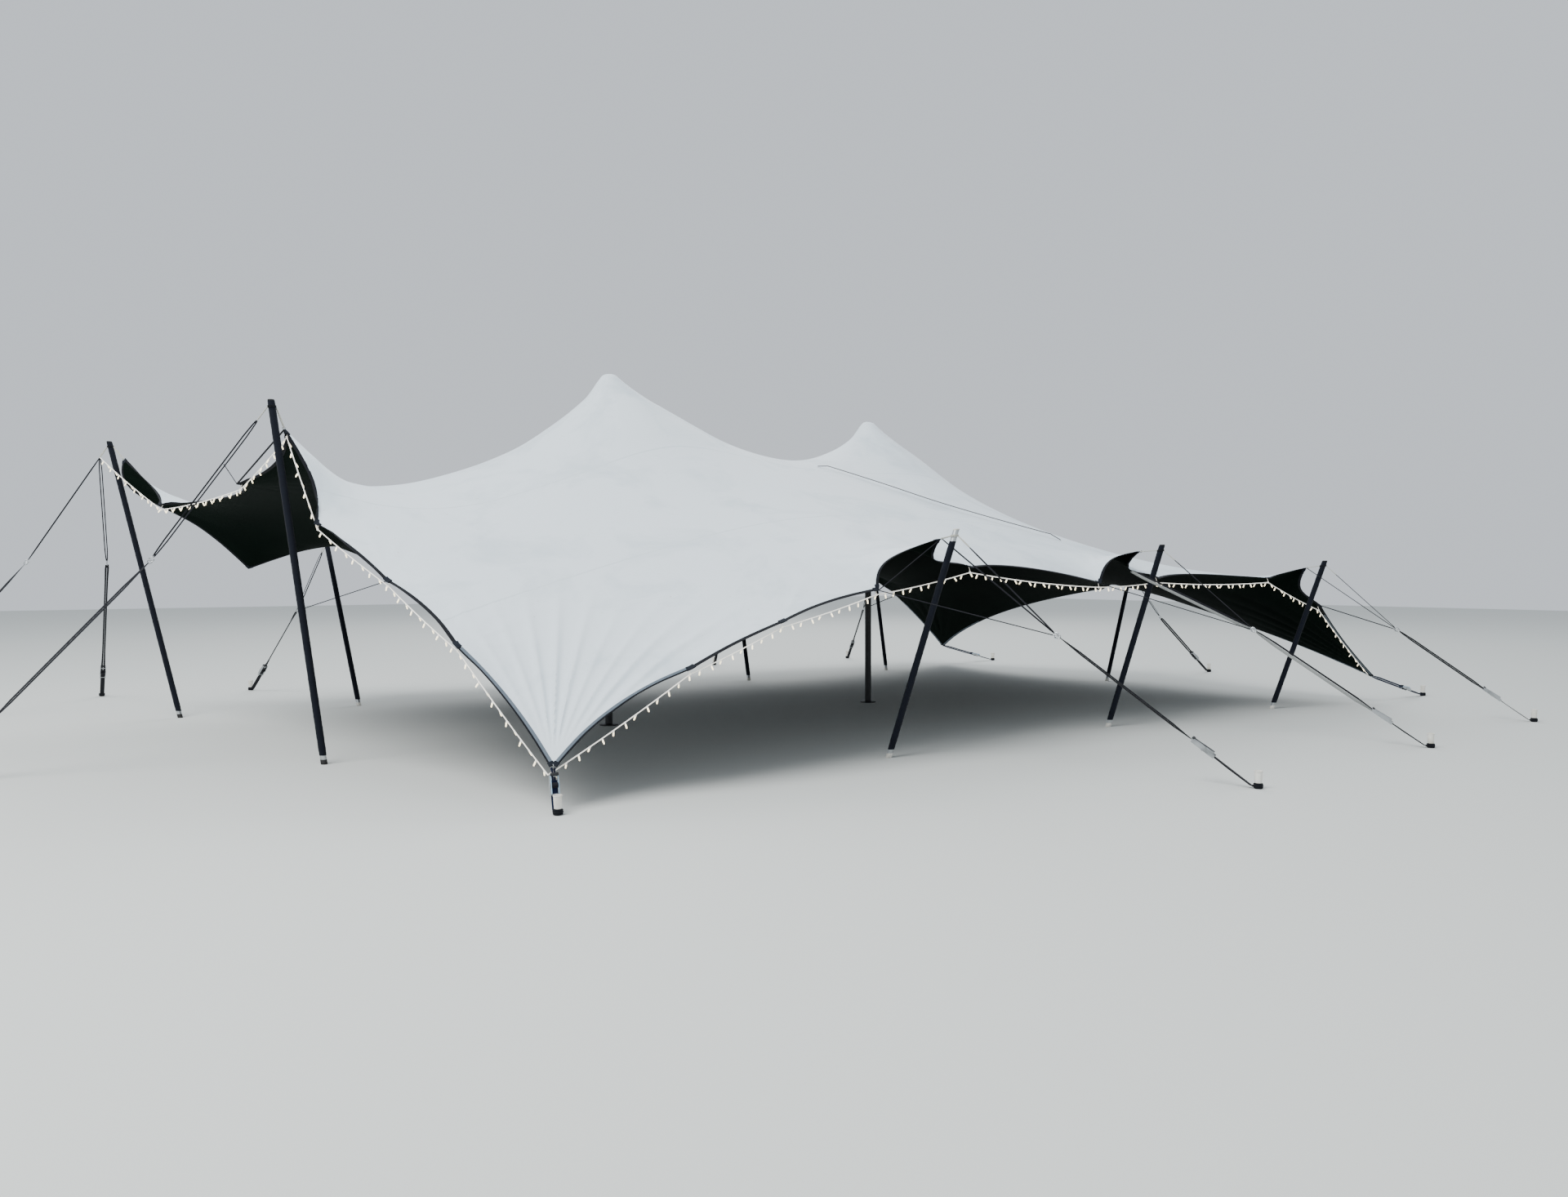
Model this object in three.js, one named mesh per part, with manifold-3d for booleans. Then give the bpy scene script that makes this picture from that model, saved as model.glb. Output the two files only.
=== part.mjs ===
// Stretch tent, about 12 m by 7.5 m: an elastic canopy over two king poles,
// held up at its edge by leaning poles and pulled tight by ratchet straps to ground stakes.
// Millimetres, +Z up. The plan is laid out from the front left corner, X along the front eave,
// Y to the back, and is shifted at the end so that the origin is the middle of the outline.
import * as THREE from 'three';
import * as BufferGeometryUtils from 'three/addons/utils/BufferGeometryUtils.js';
import Module from 'manifold-3d';

const wasm = await Module();
wasm.setup();

// Canopy cloth and its edge
const CLOTH = 12;
const GAP = 0.3;
const HEM_WIDTH = 26;
const EAVE_LENGTH = 10900;
const START_HEIGHT = 1800;
const CELLS_X = 36;
const CELLS_Y = 26;
const PANELS = 6;
const HEM_TENSION = 6;
const CORNER_TENSION = 13;
const FLAP_TENSION = 2;
const CROWN_REACH = 2.6;
const LEFT_COLUMNS = 4;
const LEFT_TENSION = 2.4;
const HEM_GAP = 0.8;
const CORNER_GAP = 60;
const RELAX_STEPS = 900;
const RELAX_REACH = 1.6;

// Poles
const POLE_RADIUS = 27;
const SLEEVE_RADIUS = 31;
const KING_RADIUS = 38;
const KING_CONE = 150;
const KING_SHOULDER = 46;
const KING_PLATE_RADIUS = 95;
const KING_PLATE = 10;
const KING_SIDES = 20;
const BARE_END = 75;
const HEAD_ABOVE_COLLAR = 60;
const POLE_SIDES = 14;

// Straps, ropes, stakes and lights
const STRAP_WIDTH = 50;
const STRAP_THICKNESS = 6;
const LEG_WIDTH = 22;
const ROPE_WIDTH = 12;
const TIP_LEG_ASIDE = 36;
const FLAP_TIE_SHARE = 0.38;
const BITE = 14;
const JOIN_BLOCK = [60, 60, 30];
const JOIN_FRACTION = 0.37;
const JOIN_HEIGHT = 0.57;
const COLLAR_HEIGHT = 45;
const COLLAR_WALL = 8;
const RATCHET_SIZE = [230, 84, 46];
const RATCHET_FROM_STAKE = 420;
const RATCHET_SHARE = 0.6;
const STAKE_RADIUS = 15;
const STAKE_SIDES = 14;
const STAKE_NECK = 42;
const CUP_HEIGHT = 92;
const CUP_RADIUS_LOW = 26;
const CUP_RADIUS_TOP = 32;
const TIE_HEIGHT = 20;
const TIE_DEPTH = 28;
const LANDING = 46;
const STRING_RADIUS = 5;
const STRING_DROP = 50;
const STRING_SHORT = 120;
const STRING_TIE = 6;
const TIE_INSET = 14;

// Depth of the plan between the front eave and the back eave, which mirrors it
const DEPTH = 7600;
const mirrored = ([x, y, z]) => [x, DEPTH - y, z];

// Peaks over the king poles, with the grid node that each one lifts
const KINGS = [
  { name: 'king_pole_left', node: [10, 13], at: [2430, 3800, 3640] },
  { name: 'king_pole_right', node: [21, 13], at: [5980, 3800, 3410] },
];

// Points of the eave, by the grid column along the front and back
const FRONT_EAVE = [
  { step: 0, at: [20, 110, 310] },
  { step: 4, at: [1090, 110, 908] },
  { step: 6, at: [1930, 130, 1220] },
  { step: 9, at: [2900, 150, 1455] },
  { step: 11, at: [3530, 90, 1865] },
  { step: 13, at: [3980, 150, 1635] },
  { step: 19, at: [5830, 230, 1490] },
  { step: 21, at: [6420, 220, 1790] },
  { step: 22, at: [6780, 250, 1530] },
  { step: 28, at: [8710, 180, 1520] },
  { step: 30, at: [9330, 110, 1625] },
  { step: 32, at: [9760, 170, 1190] },
  { step: 36, at: [10880, 110, 320] },
];
const BACK_EAVE = [
  { step: 0, at: [-1500, 7500, 2800] },
  { step: 3, at: [-250, 7420, 1640] },
  { step: 5, at: [720, 7500, 1900] },
  { step: 7, at: [1500, 7450, 1540] },
  ...FRONT_EAVE.slice(3).map(({ step, at }) => ({ step, at: mirrored(at) })),
];

// Points of the free edge of a flap beside a pole tip, with nothing tied to them
const FRONT_FLAPS = [
  { step: 10, at: [3010, 150, 1680] },
  { step: 20, at: [5990, 225, 1700] },
];
const BACK_FLAPS = [
  { step: 1, at: [-1410, 7480, 2480] },
  ...FRONT_FLAPS.map(({ step, at }) => ({ step, at: mirrored(at) })),
];

// Points of the eave, by the grid row along the left and right sides
const LEFT_EAVE = [
  { step: 0, at: FRONT_EAVE[0].at },
  { step: 4, at: [-240, 1120, 1072] },
  { step: 7, at: [-430, 2050, 1530] },
  { step: 9, at: [-780, 2700, 1980] },
  { step: 11, at: [-900, 3160, 2750] },
  { step: 15, at: [-1000, 4360, 2380] },
  { step: 22, at: [-1330, 6300, 2270] },
  { step: 26, at: BACK_EAVE[0].at },
];
const RIGHT_EAVE = [
  { step: 0, at: FRONT_EAVE.at(-1).at },
  { step: 12, at: [10890, 3450, 1330] },
  { step: 13, at: [10960, 3800, 1500] },
  { step: 14, at: [10890, 4150, 1330] },
  { step: 26, at: BACK_EAVE.at(-1).at },
];

// Perimeter poles: foot on the ground, head at the lashing, eave tip, eave points tied to the guy,
// and the eave point that a strap under the flap joins to the tip
const FRONT_POLES = [
  { name: 'r1', foot: [3315, 464], head: [3560, -80, 1890], tip: [3530, 90, 1865],
    ties: [[2900, 150, 1455]], flapEnd: [2900, 150, 1455], stake: [4530, -2230] },
  { name: 'r2', foot: [6456, 608], head: [6560, 50, 1800], tip: [6420, 220, 1790],
    ties: [[5830, 230, 1490]], stake: [7610, -2056] },
  { name: 'r3', foot: [9262, 466], head: [9450, -50, 1656], tip: [9330, 110, 1625],
    ties: [[9760, 170, 1190]], stake: [10386, -1852] },
];
const LEFT_POLES = [
  { name: 'l1', foot: [-644, 3008], head: [-1020, 3140, 2940], tip: [-900, 3160, 2750],
    ties: [], flapEnd: [-1000, 4360, 2380], stake: [-3300, 3900], headOnly: true },
  { name: 'l2', foot: [-1012, 7134], head: [-1620, 7590, 2950], tip: [-1500, 7500, 2800],
    ties: [], stake: [-3656, 8490], second: [-1396, 10170], headOnly: true },
];
const mirroredPole = (pole, name) => ({
  name,
  foot: [pole.foot[0], DEPTH - pole.foot[1]],
  head: mirrored(pole.head),
  tip: mirrored(pole.tip),
  ties: pole.ties.map(mirrored),
  flapEnd: pole.flapEnd && mirrored(pole.flapEnd),
  stake: [pole.stake[0], DEPTH - pole.stake[1]],
});
const BACK_POLES = [
  { name: 'b1', foot: [900, 7130], head: [680, 7670, 1925], tip: [720, 7500, 1900],
    ties: [[1500, 7450, 1540]], stake: [300, 9830], headOnly: true },
  ...FRONT_POLES.map((pole, i) => mirroredPole(pole, `b${i + 2}`)),
];
const RIGHT_POLES = [
  { name: 's1', foot: [10560, 3800], head: [11100, 3800, 1560], tip: [10960, 3800, 1500],
    ties: [], stake: [13100, 3800], headOnly: true },
];
const POLES = [...FRONT_POLES, ...LEFT_POLES, ...BACK_POLES, ...RIGHT_POLES];

// Corners pegged straight to the ground
const CORNERS = [
  { name: 'front_left', tip: FRONT_EAVE[0].at, stake: [0, 0] },
  { name: 'front_right', tip: FRONT_EAVE.at(-1).at, stake: [12140, 90] },
  { name: 'back_right', tip: BACK_EAVE.at(-1).at, stake: [12140, DEPTH - 90] },
];

const vec = ([x, y, z = 0]) => new THREE.Vector3(x, y, z);
const lerp = (a, b, t) => vec(a).lerp(vec(b), t);

// Materials
const material = (color, roughness, metalness = 0) =>
  new THREE.MeshStandardMaterial({ color, roughness, metalness });
const CLOTH_WHITE = material('#dfe3e2', 0.75);
const WEBBING_BLACK = material('#1d1f21', 0.85);
const SLEEVE_BLACK = material('#17191d', 0.9);
const CUP_WHITE = material('#e9e7e0', 0.5);
const CABLE_WHITE = material('#f1eee4', 0.6);

const tent = new THREE.Group();

function addMesh(name, geometry, look) {
  const mesh = new THREE.Mesh(geometry, look);
  mesh.name = name;
  tent.add(mesh);
}

// Conversions between three.js meshes and solids for joins
function solidFrom(geometry) {
  const bare = geometry.index ? geometry.toNonIndexed() : geometry.clone();
  bare.deleteAttribute('normal');
  bare.deleteAttribute('uv');
  const merged = BufferGeometryUtils.mergeVertices(bare, 1e-3);
  return new wasm.Manifold(new wasm.Mesh({
    numProp: 3,
    vertProperties: new Float32Array(merged.attributes.position.array),
    triVerts: new Uint32Array(merged.index.array),
  }));
}

function geometryFrom(solid) {
  const mesh = solid.getMesh();
  const geometry = new THREE.BufferGeometry();
  geometry.setAttribute('position', new THREE.BufferAttribute(mesh.vertProperties, 3));
  geometry.setIndex(new THREE.BufferAttribute(mesh.triVerts, 1));
  return geometry;
}

const sumOf = (geometries) => geometries.map(solidFrom).reduce((sum, solid) => sum.add(solid));

// Canopy form: a square net whose strings all pull alike, with a stronger string along the eave,
// and a weaker one along the flaps beside the pole tips. Held nodes stay where they are and every
// other node moves to the mean of its neighbours. The strings from front to back are stronger at
// the left end, which draws the roof down between the tall pole and the left peak. Heights weigh
// the strings near a crown more, so that the cloth falls evenly from each peak.
function fixedNodes() {
  const held = new Map();
  const hold = (i, j, at) => held.set(`${i},${j}`, vec(at));
  [...FRONT_EAVE, ...FRONT_FLAPS].forEach(({ step, at }) => hold(step, 0, at));
  [...BACK_EAVE, ...BACK_FLAPS].forEach(({ step, at }) => hold(step, CELLS_Y, at));
  LEFT_EAVE.forEach(({ step, at }) => hold(0, step, at));
  RIGHT_EAVE.forEach(({ step, at }) => hold(CELLS_X, step, at));
  KINGS.forEach(({ node: [i, j], at }) => hold(i, j, at));
  return held;
}

const onEave = (i, j) => i === 0 || j === 0 || i === CELLS_X || j === CELLS_Y;

// Columns of the front and back, and rows of the left, that lie on a flap beside a pole tip
const FLAPS = {
  front: [[9, 13], [19, 22], [28, 32]],
  back: [[0, 3], [3, 7], [9, 13], [19, 22], [28, 32]],
  left: [[9, 11]],
};

// Columns and rows next to the pegged corners, where the eave runs nearly straight
const CORNER_SPANS = {
  front: [[0, 4], [32, 36]],
  back: [[32, 36]],
  left: [[0, 4]],
  right: [[0, 12], [14, 26]],
};

function stringPull(i, j, nextI, nextJ) {
  if (!onEave(i, j) || !onEave(nextI, nextJ)) {
    return i === nextI && i <= LEFT_COLUMNS ? LEFT_TENSION : 1;
  }
  const middleI = (i + nextI) / 2;
  const middleJ = (j + nextJ) / 2;
  const within = (ranges, at) => ranges.some(([from, to]) => at > from && at < to);
  const side = (name, middle) => {
    if (within(FLAPS[name] ?? [], middle)) return FLAP_TENSION;
    return within(CORNER_SPANS[name], middle) ? CORNER_TENSION : HEM_TENSION;
  };
  if (j === 0 && nextJ === 0) return side('front', middleI);
  if (i === 0 && nextI === 0) return side('left', middleJ);
  if (i === CELLS_X && nextI === CELLS_X) return side('right', middleJ);
  return side('back', middleI);
}

function crownPull(i, j) {
  return KINGS.reduce((most, { node }) =>
    Math.max(most, CROWN_REACH / Math.hypot(i - node[0], j - node[1])), 1);
}

function relaxedNet() {
  const held = fixedNodes();
  const net = [];
  for (let i = 0; i <= CELLS_X; i++) {
    net.push([]);
    for (let j = 0; j <= CELLS_Y; j++) {
      const start = new THREE.Vector3(EAVE_LENGTH * i / CELLS_X, DEPTH * j / CELLS_Y, START_HEIGHT);
      net[i].push(held.get(`${i},${j}`)?.clone() ?? start);
    }
  }
  const pull = new THREE.Vector3();
  const steps = [[1, 0], [-1, 0], [0, 1], [0, -1]];
  for (let step = 0; step < RELAX_STEPS; step++) {
    for (let i = 0; i <= CELLS_X; i++) {
      for (let j = 0; j <= CELLS_Y; j++) {
        if (held.has(`${i},${j}`)) continue;
        pull.set(0, 0, 0);
        let level = 0;
        let total = 0;
        let levelTotal = 0;
        for (const [di, dj] of steps) {
          const neighbour = net[i + di]?.[j + dj];
          if (!neighbour) continue;
          const strength = stringPull(i, j, i + di, j + dj);
          const lift = strength * crownPull(i + di / 2, j + dj / 2);
          pull.addScaledVector(neighbour, strength);
          total += strength;
          level += neighbour.z * lift;
          levelTotal += lift;
        }
        pull.divideScalar(total).setZ(level / levelTotal);
        net[i][j].lerp(pull, RELAX_REACH);
      }
    }
  }
  return net;
}

const net = relaxedNet();

function netNormal(i, j) {
  const along = net[Math.min(i + 1, CELLS_X)][j].clone().sub(net[Math.max(i - 1, 0)][j]);
  const across = net[i][Math.min(j + 1, CELLS_Y)].clone().sub(net[i][Math.max(j - 1, 0)]);
  return along.cross(across).normalize();
}

const normals = net.map((column, i) => column.map((_, j) => netNormal(i, j)));

// Closed sheet over a block of points, thickened by half each way along the normals
function sheetSolid(points, across, thickness) {
  const rows = points.length;
  const columns = points[0].length;
  const positions = [];
  for (const side of [0.5, -0.5]) {
    points.forEach((row, a) => row.forEach((point, b) => {
      const moved = point.clone().addScaledVector(across[a][b], side * thickness);
      positions.push(moved.x, moved.y, moved.z);
    }));
  }
  const top = (a, b) => a * columns + b;
  const low = (a, b) => rows * columns + top(a, b);
  const faces = [];
  const quad = (p, q, r, s) => faces.push(p, q, r, p, r, s);
  for (let a = 0; a + 1 < rows; a++) {
    for (let b = 0; b + 1 < columns; b++) {
      quad(top(a, b), top(a + 1, b), top(a + 1, b + 1), top(a, b + 1));
      quad(low(a, b), low(a, b + 1), low(a + 1, b + 1), low(a + 1, b));
    }
    quad(top(a, 0), low(a, 0), low(a + 1, 0), top(a + 1, 0));
    quad(top(a, columns - 1), top(a + 1, columns - 1), low(a + 1, columns - 1), low(a, columns - 1));
  }
  for (let b = 0; b + 1 < columns; b++) {
    quad(top(0, b), top(0, b + 1), low(0, b + 1), low(0, b));
    quad(top(rows - 1, b), low(rows - 1, b), low(rows - 1, b + 1), top(rows - 1, b + 1));
  }
  const geometry = new THREE.BufferGeometry();
  geometry.setAttribute('position', new THREE.Float32BufferAttribute(positions, 3));
  geometry.setIndex(faces);
  return geometry;
}

// Space that the cloth and its hems take, a hair larger all round: what is tied to them is cut back
// to it, so that its end lies flush.
function grownNet() {
  return net.map((column, i) => column.map((point, j) => {
    const innerI = THREE.MathUtils.clamp(i, 1, CELLS_X - 1);
    const innerJ = THREE.MathUtils.clamp(j, 1, CELLS_Y - 1);
    const away = point.clone().sub(net[innerI][innerJ]);
    return point.clone().add(away.setLength(onEave(i, j) ? 2 * GAP : 0));
  }));
}

let clothSpace = solidFrom(sheetSolid(grownNet(), normals, CLOTH + 2 * GAP));

const largest = (pieces) =>
  pieces.reduce((best, piece) => (piece.volume() > best.volume() ? piece : best));

const seated = (geometries) =>
  geometryFrom(largest(sumOf(geometries).subtract(clothSpace).decompose()));

// Sewn panels across the canopy, a hair apart at their seams
function addCanopy() {
  const width = CELLS_X / PANELS;
  for (let panel = 0; panel < PANELS; panel++) {
    const first = panel * width;
    const points = [];
    const across = [];
    for (let i = first; i <= first + width; i++) {
      const row = net[i].map((point, j) => {
        if (i === first && i > 0) {
          return point.clone().addScaledVector(net[i + 1][j].clone().sub(point).normalize(), GAP);
        }
        return point.clone();
      });
      points.push(row);
      across.push(normals[i]);
    }
    addMesh(`canopy_panel_${panel + 1}`, sheetSolid(points, across, CLOTH), CLOTH_WHITE);
  }
}

// Outward direction of the eave at a node, in the plane of the cloth
function outward(line, lineNormals, k, inner) {
  const before = line[Math.max(k - 1, 0)];
  const after = line[Math.min(k + 1, line.length - 1)];
  const chord = after.clone().sub(before).normalize();
  const out = chord.clone().cross(lineNormals[k]).normalize();
  const toInner = inner[k].clone().sub(line[k]);
  return out.dot(toInner) > 0 ? out.negate() : out;
}

// Where the hem's outer edge lies beside each held point of the eave
const hemEdges = new Map();
const placeKey = (point) => point.toArray().map((value) => value.toFixed(1)).join();

// Hem along one side: it starts a hair off the cloth and stops short of the corners
function addHem(name, line, lineNormals, inner) {
  const last = line.length - 1;
  const points = [];
  const grown = [];
  const across = [];
  for (let k = 0; k <= last; k++) {
    const out = outward(line, lineNormals, Math.min(Math.max(k, 1), last - 1), inner);
    const base = line[k].clone();
    if (k === 0) base.add(line[1].clone().sub(base).setLength(CORNER_GAP));
    if (k === last) base.add(line[last - 1].clone().sub(base).setLength(CORNER_GAP));
    const from = (distance) => base.clone().addScaledVector(out, distance);
    const end = from(HEM_WIDTH);
    points.push([from(HEM_GAP), end]);
    grown.push([from(HEM_GAP - GAP), from(HEM_WIDTH + GAP)]);
    across.push([lineNormals[k], lineNormals[k]]);
    const corner = k === 0 || k === last;
    hemEdges.set(placeKey(line[k]), { edge: corner ? line[k] : end, out });
  }
  const along = points[1][0].clone().sub(points[0][0]);
  const facing = along.cross(points[0][1].clone().sub(points[0][0])).dot(lineNormals[0]);
  if (facing < 0) [...points, ...grown].forEach((pair) => pair.reverse());
  clothSpace = clothSpace.add(solidFrom(sheetSolid(grown, across, CLOTH + 2 * GAP)));
  addMesh(name, sheetSolid(points, across, CLOTH), WEBBING_BLACK);
}

function addHems() {
  const row = (grid, j) => grid.map((entries) => entries[j]);
  addHem('hem_front', row(net, 0), row(normals, 0), row(net, 1));
  addHem('hem_back', row(net, CELLS_Y), row(normals, CELLS_Y), row(net, CELLS_Y - 1));
  addHem('hem_left', net[0], normals[0], net[1]);
  addHem('hem_right', net[CELLS_X], normals[CELLS_X], net[CELLS_X - 1]);
}

// Pole made of level rings about a leaning centre line, so that its foot is flat on the ground
function leaningPole(foot, head, rings, sides) {
  const axis = (z) => {
    const t = z / head.z;
    return [foot.x + (head.x - foot.x) * t, foot.y + (head.y - foot.y) * t];
  };
  const positions = [];
  for (const [radius, z] of rings) {
    const [cx, cy] = axis(z);
    for (let s = 0; s < sides; s++) {
      const turn = 2 * Math.PI * s / sides;
      positions.push(cx + radius * Math.cos(turn), cy + radius * Math.sin(turn), z);
    }
  }
  const faces = [];
  for (let r = 0; r + 1 < rings.length; r++) {
    for (let s = 0; s < sides; s++) {
      const a = r * sides + s;
      const b = r * sides + (s + 1) % sides;
      faces.push(a, b, b + sides, a, b + sides, a + sides);
    }
  }
  const last = (rings.length - 1) * sides;
  for (let s = 1; s + 1 < sides; s++) {
    faces.push(0, s + 1, s);
    faces.push(last, last + s, last + s + 1);
  }
  const geometry = new THREE.BufferGeometry();
  geometry.setAttribute('position', new THREE.Float32BufferAttribute(positions, 3));
  geometry.setIndex(faces);
  return geometry;
}

function addPerimeterPole({ name, foot, head }) {
  const top = head[2] + HEAD_ABOVE_COLLAR;
  const sleeveEnd = head[2] - COLLAR_HEIGHT;
  const rings = [
    [POLE_RADIUS, 0],
    [POLE_RADIUS, BARE_END],
    [SLEEVE_RADIUS, BARE_END + 1],
    [SLEEVE_RADIUS, sleeveEnd - 1],
    [POLE_RADIUS, sleeveEnd],
    [POLE_RADIUS, top],
  ];
  addMesh(`pole_${name}`, leaningPole(vec(foot), vec(head), rings, POLE_SIDES), SLEEVE_BLACK);
}

// King pole: a straight tube with a plate under its foot and a tapered crown under the peak
function addKingPole({ name, at: [x, y, z] }) {
  const crown = z - CLOTH / 2 - GAP - 1;
  const profile = [
    [0, 0], [KING_PLATE_RADIUS, 0], [KING_PLATE_RADIUS, KING_PLATE], [KING_RADIUS, KING_PLATE],
    [KING_RADIUS, crown - KING_CONE], [KING_SHOULDER, crown - KING_CONE + 20], [0, crown],
  ];
  const points = profile.map(([radius, height]) => new THREE.Vector2(radius, height));
  const geometry = new THREE.LatheGeometry(points, KING_SIDES);
  geometry.rotateX(Math.PI / 2);
  geometry.translate(x, y, 0);
  addMesh(name, geometry, SLEEVE_BLACK);
}

// Straight bar with a flat section, from one point to another, its flat side up
function bar(from, to, width, thickness) {
  const length = from.distanceTo(to);
  const geometry = new THREE.BoxGeometry(length, width, thickness);
  const x = to.clone().sub(from).normalize();
  const y = new THREE.Vector3(0, 0, 1).cross(x).normalize();
  const z = x.clone().cross(y);
  geometry.applyMatrix4(new THREE.Matrix4().makeBasis(x, y, z));
  geometry.translate(...from.clone().lerp(to, 0.5).toArray());
  return geometry;
}

// Level ring round a stake, with as many sides as the thing it goes round
function ring(centre, inner, wall, height, sides) {
  const outer = inner + wall;
  const profile = [[inner, 0], [outer, 0], [outer, height], [inner, height], [inner, 0]];
  const points = profile.map(([radius, up]) => new THREE.Vector2(radius, up));
  const geometry = new THREE.LatheGeometry(points, sides);
  geometry.rotateX(Math.PI / 2);
  geometry.translate(centre.x, centre.y, centre.z - height / 2);
  return geometry;
}

// Lashing round a leaning pole: a level ring that leans as the pole does
function leaningRing(centre, lean, inner) {
  const geometry = ring(new THREE.Vector3(), inner, COLLAR_WALL, COLLAR_HEIGHT, POLE_SIDES);
  geometry.rotateZ(Math.PI / 2);
  geometry.applyMatrix4(new THREE.Matrix4().makeShear(0, 0, 0, 0, lean.x, lean.y));
  return geometry.translate(...centre.toArray());
}

// Ratchet: a boxy buckle lying along the strap
function ratchet(centre, towards, length) {
  const half = towards.clone().sub(centre).setLength(length / 2);
  return bar(centre.clone().sub(half), centre.clone().add(half), RATCHET_SIZE[1], RATCHET_SIZE[2]);
}

// Main strap down to a stake: strap, ratchet and the turns tied round the stake
function mainStrap(from, stake) {
  const foot = vec([stake[0], stake[1], TIE_HEIGHT]);
  const side = from.clone().sub(foot).setZ(0).normalize();
  const landing = foot.clone().addScaledVector(side, LANDING);
  const tie = foot.clone().addScaledVector(side, STAKE_RADIUS + GAP + COLLAR_WALL / 2);
  const length = from.distanceTo(landing);
  const place = landing.clone().add(from.clone().sub(landing)
    .setLength(Math.min(RATCHET_FROM_STAKE, length * RATCHET_SHARE)));
  return [
    bar(from, landing, STRAP_WIDTH, STRAP_THICKNESS),
    bar(tie, landing.clone().addScaledVector(side, 2), 2 * COLLAR_WALL, STRAP_THICKNESS),
    ratchet(place, landing, Math.min(RATCHET_SIZE[0], length * RATCHET_SHARE)),
    ring(foot, STAKE_RADIUS + GAP, COLLAR_WALL, TIE_DEPTH, STAKE_SIDES),
  ];
}

// The cloth end of a rope or strap: it bites into the hem's outer edge, and is cut back later
function inEave(point, towards) {
  const { edge } = hemEdges.get(placeKey(point));
  return edge.clone().add(edge.clone().sub(towards).setLength(BITE));
}

function addGuy({ name, foot, head, tip, ties, flapEnd, stake, second, headOnly }) {
  const lashing = vec(head);
  const lean = vec([(head[0] - foot[0]) / head[2], (head[1] - foot[1]) / head[2]]);
  const parts = [leaningRing(lashing, lean, POLE_RADIUS + GAP)];
  const edge = (target) => lashing.clone()
    .add(target.clone().sub(lashing).setZ(0).setLength(POLE_RADIUS + GAP + COLLAR_WALL / 2 + 3));
  parts.push(bar(edge(vec(tip)), inEave(vec(tip), lashing), ROPE_WIDTH, ROPE_WIDTH));
  for (const target of second ? [stake, second] : [stake]) {
    const join = lerp(head, [target[0], target[1], 0], JOIN_FRACTION);
    join.z = head[2] * JOIN_HEIGHT;
    parts.push(bar(edge(join), join, LEG_WIDTH, STRAP_THICKNESS));
    parts.push(new THREE.BoxGeometry(...JOIN_BLOCK).translate(...join.toArray()));
    parts.push(...mainStrap(join, target));
  }
  const join = lerp(head, [stake[0], stake[1], 0], JOIN_FRACTION);
  join.z = head[2] * JOIN_HEIGHT;
  if (!headOnly) {
    const side = new THREE.Vector3(tip[1] - join.y, join.x - tip[0], 0).setLength(TIP_LEG_ASIDE);
    if (side.dot(lean) < 0) side.negate();
    parts.push(bar(inEave(vec(tip), join).add(side), join, LEG_WIDTH, STRAP_THICKNESS));
  }
  ties.forEach((tie) => {
    parts.push(bar(inEave(vec(tie), join), join, LEG_WIDTH, STRAP_THICKNESS));
  });
  if (flapEnd) {
    const [start, end] = [inEave(vec(tip), vec(flapEnd)), inEave(vec(flapEnd), vec(tip))];
    parts.push(bar(start, end, ROPE_WIDTH, ROPE_WIDTH));
  }
  if (flapEnd && headOnly) {
    const onLeg = edge(join).lerp(join, FLAP_TIE_SHARE);
    parts.push(bar(inEave(vec(flapEnd), onLeg), onLeg, ROPE_WIDTH, ROPE_WIDTH));
  }
  addMesh(`guy_${name}`, seated(parts), WEBBING_BLACK);
}

function addCornerStrap({ name, tip, stake }) {
  const foot = vec([stake[0], stake[1], TIE_HEIGHT]);
  addMesh(`corner_strap_${name}`, seated(mainStrap(inEave(vec(tip), foot), stake)), WEBBING_BLACK);
}

// Stake with a white cup over its head
function addStake(name, [x, y]) {
  const top = STAKE_NECK + CUP_HEIGHT;
  const profile = [
    [0, 0], [STAKE_RADIUS, 0], [STAKE_RADIUS, STAKE_NECK], [CUP_RADIUS_LOW, STAKE_NECK],
    [CUP_RADIUS_TOP, top], [0, top],
  ];
  const points = profile.map(([radius, height]) => new THREE.Vector2(radius, height));
  const geometry = new THREE.LatheGeometry(points, STAKE_SIDES);
  geometry.rotateX(Math.PI / 2);
  geometry.translate(x, y, 0);
  addMesh(`stake_${name}`, geometry, CUP_WHITE);
}

// Cable tie from the light string up to the underside of the cloth
function stringTie(at) {
  const { out } = hemEdges.get(placeKey(at));
  const under = at.clone().addScaledVector(out, -TIE_INSET);
  const hung = at.clone().setZ(at.z - STRING_DROP);
  const stem = new THREE.BoxGeometry(STRING_TIE, STRING_TIE, under.z - hung.z);
  stem.translate(under.x, under.y, (under.z + hung.z) / 2);
  return [stem, bar(hung, under.clone().setZ(hung.z), STRING_TIE, STRING_TIE)];
}

// Light string along one eave, hung under its tied points
function addLightString(name, eave) {
  const points = eave.map(({ at }) => vec(at).add(new THREE.Vector3(0, 0, -STRING_DROP)));
  const last = points.length - 1;
  points[0].add(points[1].clone().sub(points[0]).setLength(STRING_SHORT));
  points[last].add(points[last - 1].clone().sub(points[last]).setLength(STRING_SHORT));
  const pieces = points.slice(1).map((point, k) =>
    bar(points[k], point, 2 * STRING_RADIUS, 2 * STRING_RADIUS));
  eave.slice(1, -1).forEach(({ at }) => pieces.push(...stringTie(vec(at))));
  addMesh(name, seated(pieces), CABLE_WHITE);
}

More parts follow.
